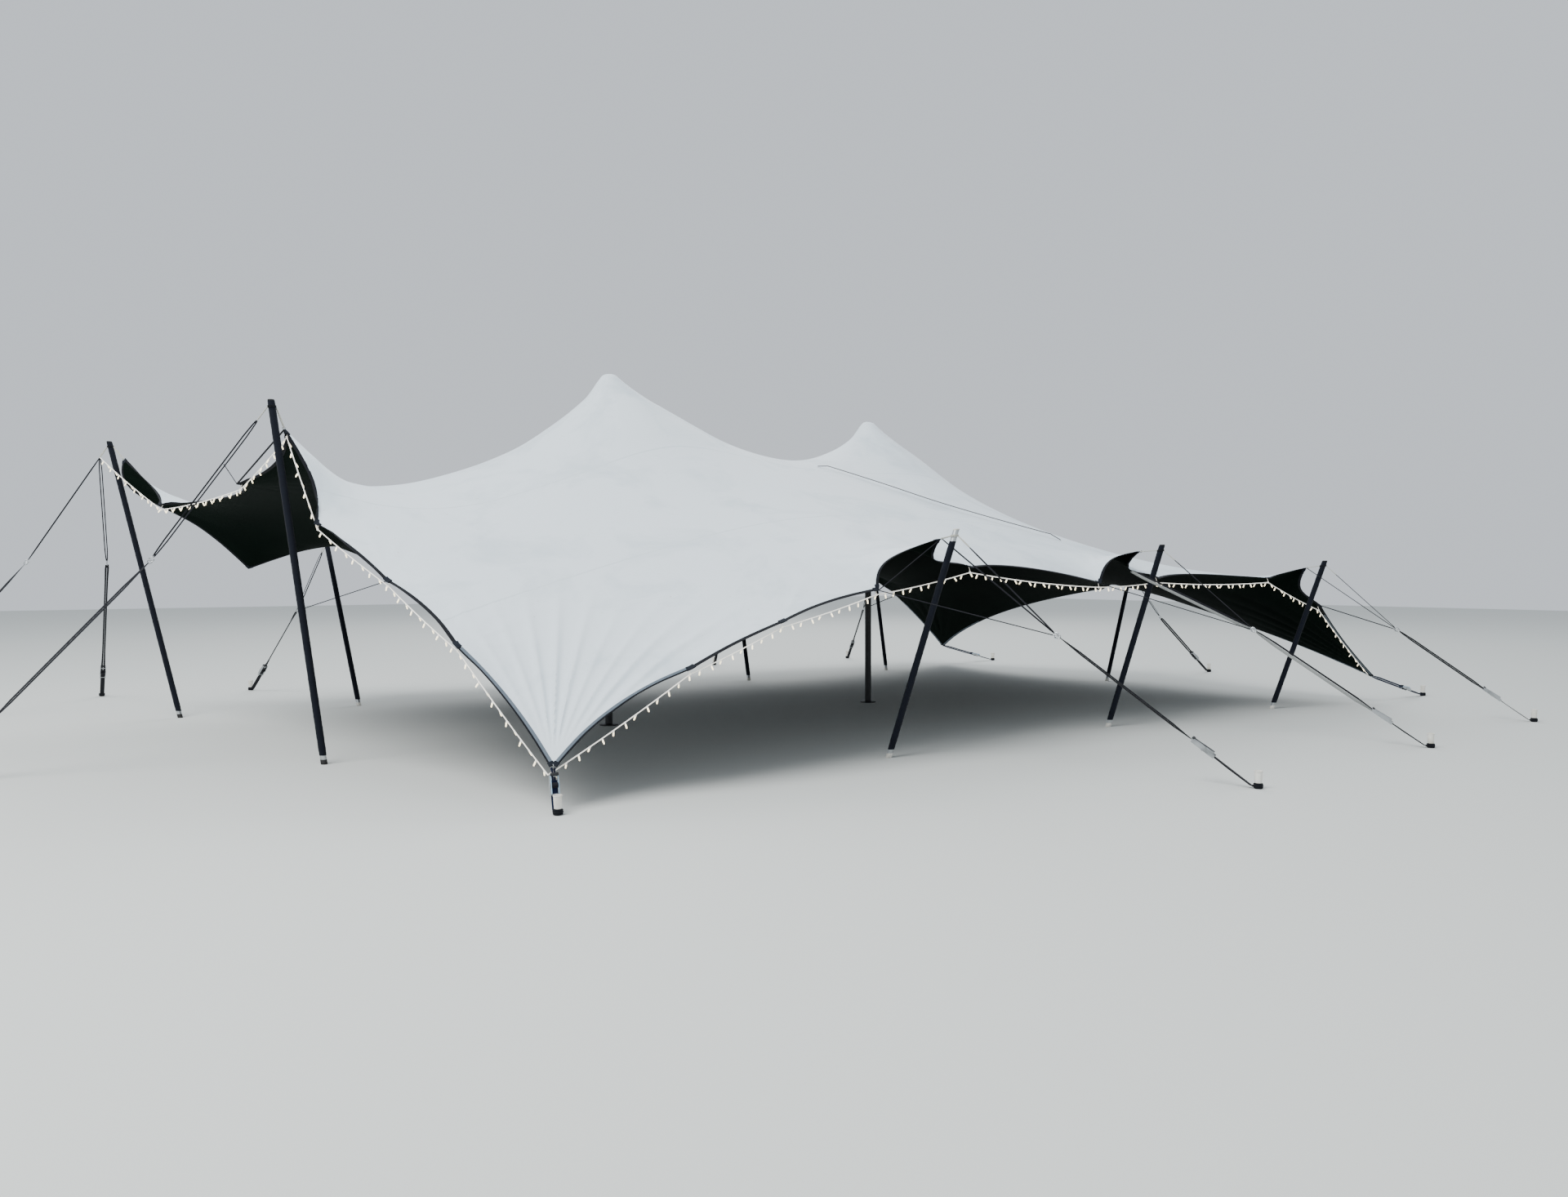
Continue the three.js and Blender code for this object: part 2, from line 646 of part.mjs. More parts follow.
addCanopy();
addHems();
KINGS.forEach(addKingPole);
POLES.forEach(addPerimeterPole);
POLES.forEach(addGuy);
CORNERS.forEach(addCornerStrap);
POLES.forEach(({ name, stake }) => addStake(name, stake));
addStake('l2_back', LEFT_POLES[1].second);
CORNERS.forEach(({ name, stake }) => addStake(name, stake));

// The front lights pass below the pole tips; the left ones climb to them
const belowTips = (eave) => eave.filter(({ at }) =>
  !POLES.some(({ tip }) => tip[0] === at[0] && tip[1] === at[1]));
addLightString('light_string_front', belowTips(FRONT_EAVE));
addLightString('light_string_left', LEFT_EAVE);

// Origin at the middle of the outline, on the ground
const outline = new THREE.Box3().setFromObject(tent, true);
const middle = outline.getCenter(new THREE.Vector3());
tent.position.set(-middle.x, -middle.y, 0);
tent.updateMatrixWorld(true);

export default tent;
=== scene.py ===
# %% [markdown]
# # A stretch tent
# One elastic sheet is pulled over two king poles. Leaning poles hold its edge up, and ratchet
# straps pull the edge down to stakes. The measured model comes first: every piece below is built
# on its places, in metres, with Z up and the ground at zero.

# %% Load the measured model
import math
from collections import namedtuple

import bmesh
import bpy
import numpy as np
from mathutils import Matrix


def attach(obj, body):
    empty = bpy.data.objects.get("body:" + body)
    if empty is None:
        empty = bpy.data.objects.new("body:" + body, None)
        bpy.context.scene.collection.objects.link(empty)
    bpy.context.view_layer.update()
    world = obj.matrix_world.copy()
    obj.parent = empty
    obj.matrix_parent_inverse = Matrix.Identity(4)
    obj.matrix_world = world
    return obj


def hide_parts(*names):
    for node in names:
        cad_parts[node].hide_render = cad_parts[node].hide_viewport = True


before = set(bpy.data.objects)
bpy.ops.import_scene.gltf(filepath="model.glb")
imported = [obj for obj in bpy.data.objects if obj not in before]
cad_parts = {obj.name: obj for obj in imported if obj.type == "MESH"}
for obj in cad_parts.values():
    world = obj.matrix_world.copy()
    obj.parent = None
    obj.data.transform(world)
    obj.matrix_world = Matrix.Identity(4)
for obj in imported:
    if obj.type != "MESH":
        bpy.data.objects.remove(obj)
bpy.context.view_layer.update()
scene = bpy.context.scene
chance = np.random.default_rng(7)

# %% [markdown]
# ## Camera, floor and light
# The camera is at eye height with a wide lens that sees about 67 degrees across. It is kept
# level, and a small lens shift puts the horizon just above the middle of the frame, so that the
# poles keep their true lean.

# %% Camera
IMAGE_WIDTH = 1920
FOCAL_PIXELS = 1440
SENSOR_WIDTH = 36.0
HORIZON_ABOVE_MIDDLE = 34
EYE = (-8.158, -11.018, 1.6)
LOOK = (0.6, 0.8)

camera_data = bpy.data.cameras.new("view_camera")
camera_data.sensor_width = SENSOR_WIDTH
camera_data.lens = SENSOR_WIDTH * FOCAL_PIXELS / IMAGE_WIDTH
camera_data.shift_y = -HORIZON_ABOVE_MIDDLE / IMAGE_WIDTH
camera = bpy.data.objects.new("view_camera", camera_data)
camera.location = EYE
camera.rotation_euler = (math.pi / 2, 0, math.atan2(-LOOK[0], LOOK[1]))
scene.collection.objects.link(camera)
scene.camera = camera
print("lens", round(camera_data.lens, 1), "mm")

# %% [markdown]
# Hex colours are read from a screen, so they are sRGB. A shader works with linear light,
# and one function turns the one into the other. One more function adds a node, sets it and wires
# it, and the short ones after it call it for the nodes that every material needs.

# %% Colours and nodes
def linear(code):
    """sRGB hex to linear red, green, blue and alpha."""
    shares = [int(code[k:k + 2], 16) / 255 for k in (1, 3, 5)]
    return tuple(s / 12.92 if s <= 0.04045 else ((s + 0.055) / 1.055) ** 2.4 for s in shares) + (1.0,)


def add_node(tree, kind, inputs=None, **settings):
    """Adds a node. An input that is a socket is wired, and any other value is set."""
    node = tree.nodes.new(kind)
    for name, value in settings.items():
        setattr(node, name, value)
    for name, value in (inputs or {}).items():
        if isinstance(value, bpy.types.NodeSocket):
            tree.links.new(value, node.inputs[name])
        else:
            node.inputs[name].default_value = value
    return node


def new_material(name, **values):
    """A material with a Principled shader whose sockets take the named constants."""
    material = bpy.data.materials.new(name)
    material.use_nodes = True
    shader = material.node_tree.nodes["Principled BSDF"]
    for socket, value in values.items():
        shader.inputs[socket.replace("_", " ")].default_value = value
    return material, material.node_tree, shader


def add_math(tree, operation, *values):
    """The result of a sum on values and sockets."""
    return add_node(tree, "ShaderNodeMath", dict(enumerate(values)), operation=operation).outputs[0]


def add_noise(tree, spot, scale, detail, **more):
    """The height of a cloudy noise, with so many spots to a metre."""
    inputs = {"Vector": spot, "Scale": scale, "Detail": detail, **more}
    return add_node(tree, "ShaderNodeTexNoise", inputs).outputs[0]


def add_range(tree, value, low, high, to_low=0.0, to_high=1.0):
    """A value between two limits, turned into one between two others."""
    return add_node(tree, "ShaderNodeMapRange", {
        "Value": value, "From Min": low, "From Max": high, "To Min": to_low,
        "To Max": to_high}).outputs[0]


def add_mix(tree, share, first, second):
    """A colour between two, each of them a hex colour or a socket."""
    first, second = (linear(c) if isinstance(c, str) else c for c in (first, second))
    return add_node(tree, "ShaderNodeMix", {0: share, 6: first, 7: second},
                    data_type="RGBA").outputs[2]


def finish_shader(tree, shader, colour, height, strength, distance):
    """Wires the colour and a relief, whose full depth is in metres."""
    bump = add_node(tree, "ShaderNodeBump", {
        "Height": height, "Strength": strength, "Distance": distance})
    tree.links.new(colour, shader.inputs["Base Color"])
    tree.links.new(bump.outputs[0], shader.inputs["Normal"])


# %% [markdown]
# The floor is a plain pale plane, and it isn't part of the tent. An overcast sky is one huge soft
# light: the world gives most of it, and two large lamps give it a direction, so that the folds of
# the cloth still read.

# %% Floor and lights
FLOOR_SIDE = 90.0
floor_mesh = bpy.data.meshes.new("floor")
half = FLOOR_SIDE / 2
floor_mesh.from_pydata([(-half, -half, 0), (half, -half, 0), (half, half, 0), (-half, half, 0)],
                       [], [(0, 1, 2, 3)])
floor = bpy.data.objects.new("floor", floor_mesh)
floor_finish, _, _ = new_material("pale_floor", Base_Color=linear("#cfd2ce"), Roughness=0.9)
floor_mesh.materials.append(floor_finish)
scene.collection.objects.link(floor)

world = bpy.data.worlds.new("overcast")
world.use_nodes = True
world.node_tree.nodes["Background"].inputs["Color"].default_value = linear("#dfe6ee")
world.node_tree.nodes["Background"].inputs["Strength"].default_value = 1.0
scene.world = world


def soft_lamp(name, spot, target, side, power):
    """A large square lamp that looks at a point."""
    data = bpy.data.lights.new(name, "AREA")
    data.size = side
    data.energy = power
    lamp = bpy.data.objects.new(name, data)
    lamp.location = spot
    away = np.subtract(spot, target)
    lamp.rotation_euler = (math.atan2(math.hypot(away[0], away[1]), away[2]), 0,
                           math.atan2(away[1], away[0]) + math.pi / 2)
    scene.collection.objects.link(lamp)


soft_lamp("sky_left", (-14, -6, 17), (-1, 0, 1.5), 12, 5200)
soft_lamp("sky_back", (12, 14, 18), (1, 0, 1.5), 14, 2600)
print("two lamps and the world")

# %% [markdown]
# ## Where everything stands
# The plan is laid out in millimetres from the front left corner: X runs along the front eave and
# Y to the back. One function moves a place to the shared frame, in metres. The eave is held at
# these points, each with the column or row of the cloth's net that it lies on. A few more only
# shape the free edge of a flap, and nothing is tied to them.

# %% Places of the plan
DEPTH = 7600
SHIFT = np.array([-4.722, -3.970, 0.0])


def place(x, y, z=0.0):
    """A point of the plan, in millimetres, as a point of the frame, in metres."""
    return np.array([x, y, z]) / 1000 + SHIFT


def mirrored(point):
    """The same point seen from the back eave."""
    return (point[0], DEPTH - point[1], *point[2:])


FRONT = [(0, (20, 110, 310)), (4, (1090, 110, 908)), (6, (1930, 130, 1220)),
         (9, (2900, 150, 1455)), (11, (3530, 90, 1865)), (13, (3980, 150, 1635)),
         (19, (5830, 230, 1490)), (21, (6420, 220, 1790)), (22, (6780, 250, 1530)),
         (28, (8710, 180, 1520)), (30, (9330, 110, 1625)), (32, (9760, 170, 1190)),
         (36, (10880, 110, 320))]
BACK = [(0, (-1500, 7500, 2800)), (3, (-250, 7420, 1640)), (5, (720, 7500, 1900)),
        (7, (1500, 7450, 1540))] + [(step, mirrored(at)) for step, at in FRONT[3:]]
FRONT_FLAPS = [(10, (3010, 150, 1680)), (20, (5990, 225, 1700))]
BACK_FLAPS = [(1, (-1410, 7480, 2480))] + [(step, mirrored(at)) for step, at in FRONT_FLAPS]
LEFT = [FRONT[0], (4, (-240, 1120, 1072)), (7, (-430, 2050, 1530)), (9, (-780, 2700, 1980)),
        (11, (-900, 3160, 2750)), (15, (-1000, 4360, 2380)), (22, (-1330, 6300, 2270)),
        (26, BACK[0][1])]
RIGHT = [(0, FRONT[-1][1]), (12, (10890, 3450, 1330)), (13, (10960, 3800, 1500)),
         (14, (10890, 4150, 1330)), (26, BACK[-1][1])]
KINGS = [("king_pole_left", (10, 13), (2430, 3800, 3640)),
         ("king_pole_right", (21, 13), (5980, 3800, 3410))]
print("eave points", len(FRONT) + len(BACK) + len(LEFT) + len(RIGHT))

# %% [markdown]
# ## The form of the cloth
# A stretched sheet finds its own form, so nobody draws it. It could be a cloth simulation, but a
# net of strings is quicker and always gives the same result: each free knot moves to the mean of
# its four neighbours until nothing moves. A stronger string runs along the eave, and a weaker one
# along the flaps beside the pole tips. The last four strings before a pegged corner pull the
# hardest. The heights weigh the strings near a peak more, so that the cloth falls from it as a
# cone and not as a needle. The knots move by turns, as the black and the white squares of a board.

# %% Net of strings
COLUMNS, ROWS = 36, 26
EAVE_PULL, CORNER_PULL, FLAP_PULL = 6.0, 13.0, 2.0
LEFT_COLUMNS, LEFT_PULL = 4, 2.4
CROWN_REACH = 2.6
SWEEPS, OVERSHOOT = 1800, 1.7
START_LENGTH, START_HEIGHT = 10.9, 1.8
PEGGED = 4
FLAPS_FRONT = [(9, 13), (19, 22), (28, 32)]
FLAPS_BACK = [(0, 3), (3, 7)] + FLAPS_FRONT
LEFT_FLAP, RIGHT_FLAP = slice(9, 11), slice(12, 14)


def string_pulls():
    """How hard each string pulls: along the columns' direction, and along the rows'."""
    along = np.ones((COLUMNS, ROWS + 1))
    across = np.ones((COLUMNS + 1, ROWS))
    across[1:LEFT_COLUMNS + 1] = LEFT_PULL
    along[:, [0, -1]] = EAVE_PULL
    across[0] = EAVE_PULL
    across[0, :PEGGED] = CORNER_PULL
    across[-1] = CORNER_PULL
    across[-1, RIGHT_FLAP] = EAVE_PULL
    along[:PEGGED, 0] = CORNER_PULL
    along[-PEGGED:, [0, -1]] = CORNER_PULL
    for low, high in FLAPS_FRONT:
        along[low:high, 0] = FLAP_PULL
    for low, high in FLAPS_BACK:
        along[low:high, -1] = FLAP_PULL
    across[0, LEFT_FLAP] = FLAP_PULL
    return along, across


def crown_pull(i, j):
    """Extra weight of a string's height, from its distance to the nearest peak."""
    near = [CROWN_REACH / np.hypot(i - knot[0], j - knot[1]) for _, knot, _ in KINGS]
    return np.maximum(np.maximum(*near), 1)


def neighbour_sum(values, along, across):
    """For each knot, the sum of its neighbours' values times the pulls between them."""
    total = np.zeros(np.broadcast_shapes(values.shape, (COLUMNS + 1, ROWS + 1, 1)))
    total[1:] += along[..., None] * values[:-1]
    total[:-1] += along[..., None] * values[1:]
    total[:, 1:] += across[..., None] * values[:, :-1]
    total[:, :-1] += across[..., None] * values[:, 1:]
    return total


def relaxed_net():
    """The knots at rest, as columns by rows by three coordinates."""
    i, j = np.meshgrid(np.arange(COLUMNS + 1), np.arange(ROWS + 1), indexing="ij")
    net = np.stack([START_LENGTH * i / COLUMNS, DEPTH / 1000 * j / ROWS,
                    START_HEIGHT + 0 * i], -1) + SHIFT
    free = np.ones(i.shape, bool)
    knots = [((step, 0), at) for step, at in FRONT + FRONT_FLAPS]
    knots += [((step, ROWS), at) for step, at in BACK + BACK_FLAPS]
    knots += [((0, step), at) for step, at in LEFT] + [((COLUMNS, step), at) for step, at in RIGHT]
    for knot, at in knots + [(knot, at) for _, knot, at in KINGS]:
        net[knot] = place(*at)
        free[knot] = False
    along, across = string_pulls()
    along_z = along * crown_pull(i[:-1] + 0.5, j[:-1])
    across_z = across * crown_pull(i[:, :-1], j[:, :-1] + 0.5)
    ones = np.ones(net.shape[:2] + (1,))
    total, total_z = neighbour_sum(ones, along, across), neighbour_sum(ones, along_z, across_z)
    for turn in range(SWEEPS):
        chosen = free & ((i + j) % 2 == turn % 2)
        mean = neighbour_sum(net, along, across) / total
        mean[..., 2:] = neighbour_sum(net[..., 2:], along_z, across_z) / total_z
        net[chosen] += OVERSHOOT * (mean - net)[chosen]
    return net


net = relaxed_net()
print("net", net.shape, "highest knot", round(net[..., 2].max(), 3))

# %% [markdown]
# The net is coarse, and the cloth is smooth. A cubic curve through the knots of each line makes
# it fine, and finest near the front left corner, which has the sharpest folds, and at the peaks.
# At a held point of the eave the webbing has a sharp corner, so there the curve is broken, and
# each side of it ends as a spring would.

# %% Smooth fine sheet
FINE_COLUMNS = ([17] * 4 + [5] * 5 + [10] * 2 + [5] * 9 + [10] * 2 + [5] * 2 + [4] * 4 + [5] * 4
                + [6] * 4)
FINE_ROWS = [18] * 4 + [5] * 8 + [10] * 2 + [5] * 8 + [6] * 4


def along_knots(counts):
    """Where each fine point lies, counted in knots, for that many points in each gap."""
    return np.concatenate([k + np.arange(count) / count for k, count in enumerate(counts)])


def smooth_line(knots, counts, corners=()):
    """Fine points along the first axis, by the count for each gap, broken at corners."""
    gaps = np.diff(knots, axis=0)
    slopes = np.empty_like(knots)
    slopes[1:-1] = (gaps[1:] + gaps[:-1]) / 2
    slopes[0], slopes[-1] = gaps[0], gaps[-1]
    leave, arrive = slopes[:-1].copy(), slopes[1:].copy()
    ends = {0, len(knots) - 1} | set(corners)
    for k in ends:
        if k < len(gaps):
            leave[k] = gaps[k] if k + 1 in ends else 1.5 * gaps[k] - 0.5 * slopes[k + 1]
        if k > 0:
            arrive[k - 1] = gaps[k - 1] if k - 1 in ends else 1.5 * gaps[k - 1] - 0.5 * slopes[k - 1]
    places = along_knots(counts)
    gap = places.astype(int)
    t = (places - gap).reshape(-1, *[1] * (knots.ndim - 1))
    a, b, m, n = knots[gap], knots[gap + 1], leave[gap], arrive[gap]
    fine = (a * (2 * t**3 - 3 * t**2 + 1) + m * (t**3 - 2 * t**2 + t)
            + b * (3 * t**2 - 2 * t**3) + n * (t**3 - t**2))
    return np.concatenate([fine, knots[-1:]])


def smooth_sheet(knots):
    """The whole net made fine: along the columns first, and then along the rows."""
    wide = smooth_line(knots, FINE_COLUMNS)
    wide[:, 0] = smooth_line(knots[:, 0], FINE_COLUMNS, [step for step, _ in FRONT])
    wide[:, -1] = smooth_line(knots[:, -1], FINE_COLUMNS, [step for step, _ in BACK])
    fine = smooth_line(wide.transpose(1, 0, 2), FINE_ROWS).transpose(1, 0, 2).copy()
    fine[0] = smooth_line(wide[0], FINE_ROWS, [step for step, _ in LEFT])
    fine[-1] = smooth_line(wide[-1], FINE_ROWS, [step for step, _ in RIGHT])
    return fine


def sheet_normals(points):
    """Unit normals that point up."""
    normals = np.cross(np.gradient(points, axis=0), np.gradient(points, axis=1))
    return normals / np.linalg.norm(normals, axis=-1, keepdims=True)


cloth = smooth_sheet(net)
CUT_LENGTH, CUT_WIDTH = 10.5, 7.5
cut = np.stack(np.meshgrid(np.append(along_knots(FINE_COLUMNS), COLUMNS) * CUT_LENGTH / COLUMNS,
                           np.append(along_knots(FINE_ROWS), ROWS) * CUT_WIDTH / ROWS,
                           indexing="ij"), -1)
print("fine sheet", cloth.shape, "cut from", CUT_LENGTH, "by", CUT_WIDTH, "m")

# %% [markdown]
# The outer edge of a flap is hollow. It falls steeply from the pole tip, a little back below it,
# and only then runs on to the next rig point. The move is largest at the eave, a third of the
# way along, where the bow comes to one, and dies away inward, so that the cloth stays smooth.

# %% Hollow edges of the flaps
HOLLOWS = [(11, 13, (-0.12, 0, -0.09)), (21, 22, (-0.25, 0, -0.08)), (30, 32, (-0.12, 0, -0.04))]
HOLLOW_REACH = 0.50
BOW_TO_ONE = 6.75


def hollow(sheet, from_eave):
    """Moves the cloth between each tip and the next rig point, by its distance from the eave."""
    inward = np.clip(1 - from_eave / HOLLOW_REACH, 0, 1) ** 2
    for first, last, move in HOLLOWS:
        start, stop = sum(FINE_COLUMNS[:first]), sum(FINE_COLUMNS[:last]) + 1
        share = np.linspace(0, 1, stop - start)[:, None]
        bow = BOW_TO_ONE * share * (1 - share) ** 2 * inward[start:stop]
        sheet[start:stop] += bow[..., None] * np.array(move)


hollow(cloth, cut[..., 1])
hollow(cloth, CUT_WIDTH - cut[..., 1])
print("hollow flaps", 2 * len(HOLLOWS))

# %% [markdown]
# A peak is a small round knob where the padded head pushes the cloth up, and round it the cloth
# falls away hollow. So the cloth is let down a little round each knob.

# %% Knobs of the peaks
KNOB_RADIUS, HOLLOW_WIDTH, HOLLOW_DEPTH = 0.070, 0.26, 0.060

for _, _, at in KINGS:
    away = np.linalg.norm((cloth - place(*at))[..., :2], axis=-1)
    past = np.maximum(away - KNOB_RADIUS, 0) / HOLLOW_WIDTH
    cloth[..., 2] -= HOLLOW_DEPTH * past * np.exp(1 - past)
print("knobs", len(KINGS))

# %% [markdown]
# ## Tension folds
# Where a strap pulls at a point, the cloth gathers into folds that fan out from it. They are
# moves of the mesh along its normal: a wave round the point, which starts at nothing, is highest
# at some reach, and dies away. The crests are narrow and the troughs wide, and they wander and
# vary round the point. Each row below is a place with its reach, height and folds in a full turn.
# The pegged corners have the strongest ones. The webbing keeps the hem itself smooth, so every
# fold fades over the last 12 cm before it.

# %% Fans of folds
WANDER, UNEVEN, CREST, TROUGH = 0.8, 0.30, 1.4, 0.45


def fan(points, centre, reach, height, folds, phase):
    """Heights of folds round a centre: highest at reach, with that many folds in a full turn."""
    away = points - centre
    distance = np.linalg.norm(away, axis=-1) / reach
    turn = np.arctan2(away[..., 1], away[..., 0])
    wave = np.sin(folds * turn + phase + WANDER * np.sin(3 * turn + phase))
    uneven = 1 - UNEVEN + UNEVEN * np.sin(7 * turn + 2 * phase)
    ridge = (np.exp(CREST * (wave - 1)) - TROUGH) * uneven
    return height * distance * np.exp((1 - distance**2) / 2) * ridge


FAN_CORNERS = [(FRONT[0][1], 0.78, 0.036, 36), (FRONT[-1][1], 0.75, 0.028, 34),
               (BACK[-1][1], 0.75, 0.028, 34), (BACK[0][1], 0.5, 0.016, 22)]
FAN_TIPS = [(FRONT[4][1], 0.42, 0.010, 15), (FRONT[7][1], 0.42, 0.010, 15),
            (FRONT[10][1], 0.42, 0.010, 15), (LEFT[4][1], 0.48, 0.013, 16),
            (BACK[2][1], 0.42, 0.010, 15), (BACK[5][1], 0.42, 0.010, 15),
            (BACK[8][1], 0.42, 0.010, 15), (BACK[11][1], 0.42, 0.010, 15),
            (RIGHT[2][1], 0.45, 0.011, 14)]
FAN_TIES = [(at, 0.34, 0.009, 13) for _, at in FRONT[1:4] + FRONT[5:7] + LEFT[1:4] + LEFT[5:7]]
FAN_PEAKS = [(at, 0.5, 0.004, 14) for _, _, at in KINGS]

HEM_FADE, PHASE_STEP = 0.12, 1.7
flat_normals = sheet_normals(cloth)
lift = np.zeros(cloth.shape[:2])
for number, (at, reach, height, folds) in enumerate(FAN_CORNERS + FAN_TIPS + FAN_TIES + FAN_PEAKS):
    lift += fan(cloth, place(*at), reach, height, folds, PHASE_STEP * number)
from_hem = np.minimum(cut, (CUT_LENGTH, CUT_WIDTH) - cut).min(axis=-1)
lift *= np.clip(from_hem / HEM_FADE, 0, 1)
cloth = cloth + flat_normals * lift[..., None]
normals = sheet_normals(cloth)
print("highest fold", round(1000 * np.abs(lift).max(), 1), "mm")

# %% [markdown]
# ## Building blocks for meshes
# A piece gathers its vertices, faces, texture places and finishes, and becomes one object. The
# texture places are real metres, so that a weave has its true size on every piece. Two shapes
# make nearly everything: a section swept along a path, and a profile turned round an axis.

# %% A piece that gathers its parts
SHARP_ANGLE = math.radians(42)


class Piece:
    """Mesh parts with their finishes, which become one object on the root body."""

    def __init__(self, name):
        self.name, self.vertices, self.faces, self.places, self.slots = name, [], [], [], []
        self.finishes = []

    def add(self, part, finish):
        """Adds a part, which is its vertices, its faces and a texture place for each corner."""
        vertices, faces, places = part
        start = len(self.vertices)
        self.vertices.extend(vertices)
        self.faces.extend(tuple(start + corner for corner in face) for face in faces)
        self.places.extend(places)
        if finish not in self.finishes:
            self.finishes.append(finish)
        self.slots.extend([self.finishes.index(finish)] * len(faces))

    def build(self, slot, *nodes):
        """Makes the object, which stands for the CAD nodes named."""
        mesh = bpy.data.meshes.new(self.name)
        mesh.from_pydata([tuple(v) for v in self.vertices], [], self.faces)
        layer = mesh.uv_layers.new(name="metres")
        layer.data.foreach_set("uv", np.array([p for face in self.places for p in face]).ravel())
        for finish in self.finishes:
            mesh.materials.append(finish)
        mesh.polygons.foreach_set("material_index", self.slots)
        shell = bmesh.new()
        shell.from_mesh(mesh)
        bmesh.ops.recalc_face_normals(shell, faces=shell.faces)
        shell.to_mesh(mesh)
        shell.free()
        mesh.shade_smooth()
        mesh.set_sharp_from_angle(angle=SHARP_ANGLE)
        obj = bpy.data.objects.new(self.name, mesh)
        scene.collection.objects.link(obj)
        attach(obj, "root")
        if nodes:
            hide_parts(*nodes)
        return obj


# %% [markdown]
# A section is a closed outline in metres, given as across and up. Every part is closed too, so
# that it has an inside, and its texture places run along it and round it.

# %% Sweep and turn
EAST, NORTH, UP = np.eye(3)


def unit(vector):
    """The direction of a vector, with length one."""
    return vector / np.linalg.norm(vector)


def level(vector):
    """The part of a vector that lies in the ground plane."""
    return vector * (1, 1, 0)


def sideways(ahead):
    """The level direction at a right angle to a direction."""
    return unit(np.cross(ahead, UP))


def lengths_along(points):
    """The length from the start of a line to each of its points."""
    return np.concatenate([[0], np.cumsum(np.linalg.norm(np.diff(points, axis=0), axis=1))])


def at_length(reach, far, values):
    """The values of a line at a length along it, or at several."""
    return np.stack([np.interp(reach, far, values[:, axis]) for axis in range(3)], -1)


def round_section(radius, sides=10):
    """A rod's section, with that many sides."""
    turns = 2 * np.pi * np.arange(sides) / sides
    return np.stack([radius * np.cos(turns), radius * np.sin(turns)], -1)


def flat_section(width, thickness):
    """A strap's section: flat faces and rounded edges, as across and up."""
    r = thickness / 2
    side = width / 2 - r
    edge = [(side + r * math.cos(a), r * math.sin(a)) for a in np.linspace(-np.pi / 2, np.pi / 2, 5)]
    return np.array(edge + [(-x, -y) for x, y in edge])


def sweep(path, section, up=None, ring=False, scale=None):
    """A section carried along a path. ring joins the end to the start, and scale is a size at
    each point. The frame turns as little as it can on the way."""
    path = np.asarray(path, float)
    count, sides = len(path), len(section)
    ahead = np.roll(path, -1, 0) - np.roll(path, 1, 0) if ring else np.gradient(path, axis=0)
    ahead /= np.linalg.norm(ahead, axis=1, keepdims=True)
    if up is None:
        up = UP if abs(ahead[0][2]) < 0.9 else NORTH
    lift = np.asarray(up, float)
    fixed = lift.ndim > 1
    vertices = []
    for k in range(count):
        lift_here = lift[k] if fixed else lift
        lift_here = unit(lift_here - ahead[k] * np.dot(lift_here, ahead[k]))
        if not fixed:
            lift = lift_here
        across = np.cross(lift_here, ahead[k])
        size = 1 if scale is None else scale[k]
        vertices.extend(path[k] + size * (s * across + t * lift_here) for s, t in section)
    far, rim = lengths_along(path), lengths_along(np.vstack([section, section[:1]]))
    faces, places = [], []
    for k in range(count if ring else count - 1):
        onward = (k + 1) % count
        end = far[k + 1] if k + 1 < count else far[-1] + np.linalg.norm(path[0] - path[-1])
        for s in range(sides):
            n = (s + 1) % sides
            faces.append((k * sides + s, k * sides + n, onward * sides + n, onward * sides + s))
            places.append(((far[k], rim[s]), (far[k], rim[s + 1]), (end, rim[s + 1]), (end, rim[s])))
    if not ring:
        for start in (0, (count - 1) * sides):
            faces.append(tuple(range(start, start + sides)))
            places.append(tuple((float(s), float(t)) for s, t in section))
    return vertices, faces, places


def turned(profile, foot, head, sides=24, level=False):
    """A profile of (radius, height) turned round the line from foot towards head. With level,
    its rings stay level, as on a leaning pole whose foot stands flat."""
    foot, head = np.asarray(foot, float), np.asarray(head, float)
    axis = unit(head - foot)
    if level:
        axis, across, beside = (head - foot) / (head - foot)[2], EAST, NORTH
    else:
        across = unit(np.cross(NORTH if abs(axis[1]) < 0.9 else EAST, axis))
        beside = np.cross(axis, across)
    vertices, faces, places = [], [], []
    turns = 2 * np.pi * np.arange(sides) / sides
    far = 0.0
    for k, (radius, height) in enumerate(profile):
        centre = foot + axis * height
        vertices.extend(centre + radius * (math.cos(a) * across + math.sin(a) * beside) for a in turns)
        if k == 0:
            continue
        near, far = far, far + math.hypot(radius - profile[k - 1][0], height - profile[k - 1][1])
        for s in range(sides):
            n = (s + 1) % sides
            low, high = (k - 1) * sides, k * sides
            faces.append((low + s, low + n, high + n, high + s))
            girth = max(radius, profile[k - 1][0])
            round_a, round_b = girth * 2 * np.pi * s / sides, girth * 2 * np.pi * (s + 1) / sides
            places.append(((near, round_a), (near, round_b), (far, round_b), (far, round_a)))
    for start in (0, (len(profile) - 1) * sides):
        faces.append(tuple(range(start, start + sides)))
        places.append(tuple((math.cos(a) * 0.01, math.sin(a) * 0.01) for a in turns))
    return vertices, faces, places


print("sweep and turn are ready")

# %% [markdown]
# ## Cloth finishes
# The canopy is a knitted polyester with a matt white polyurethane coat outside and a dark coat
# inside, whose colour is made darker and greener than the coat to paint the shade and the green
# bounce light under the canopy. Outside it is a broken, slightly blue white with pale water
# marks, and a lapped seam runs lengthwise every 1.42 m. The knit is under a millimetre, too fine
# to show from ten metres, so its grain is drawn at 6 mm.

# %% White coated cloth
KNIT_GRAIN, KNIT_DEPTH = 0.006, 0.0008
PANEL_WIDTH, SEAM_WIDTH, SEAM_RELIEF = 1.42, 0.014, 3.0


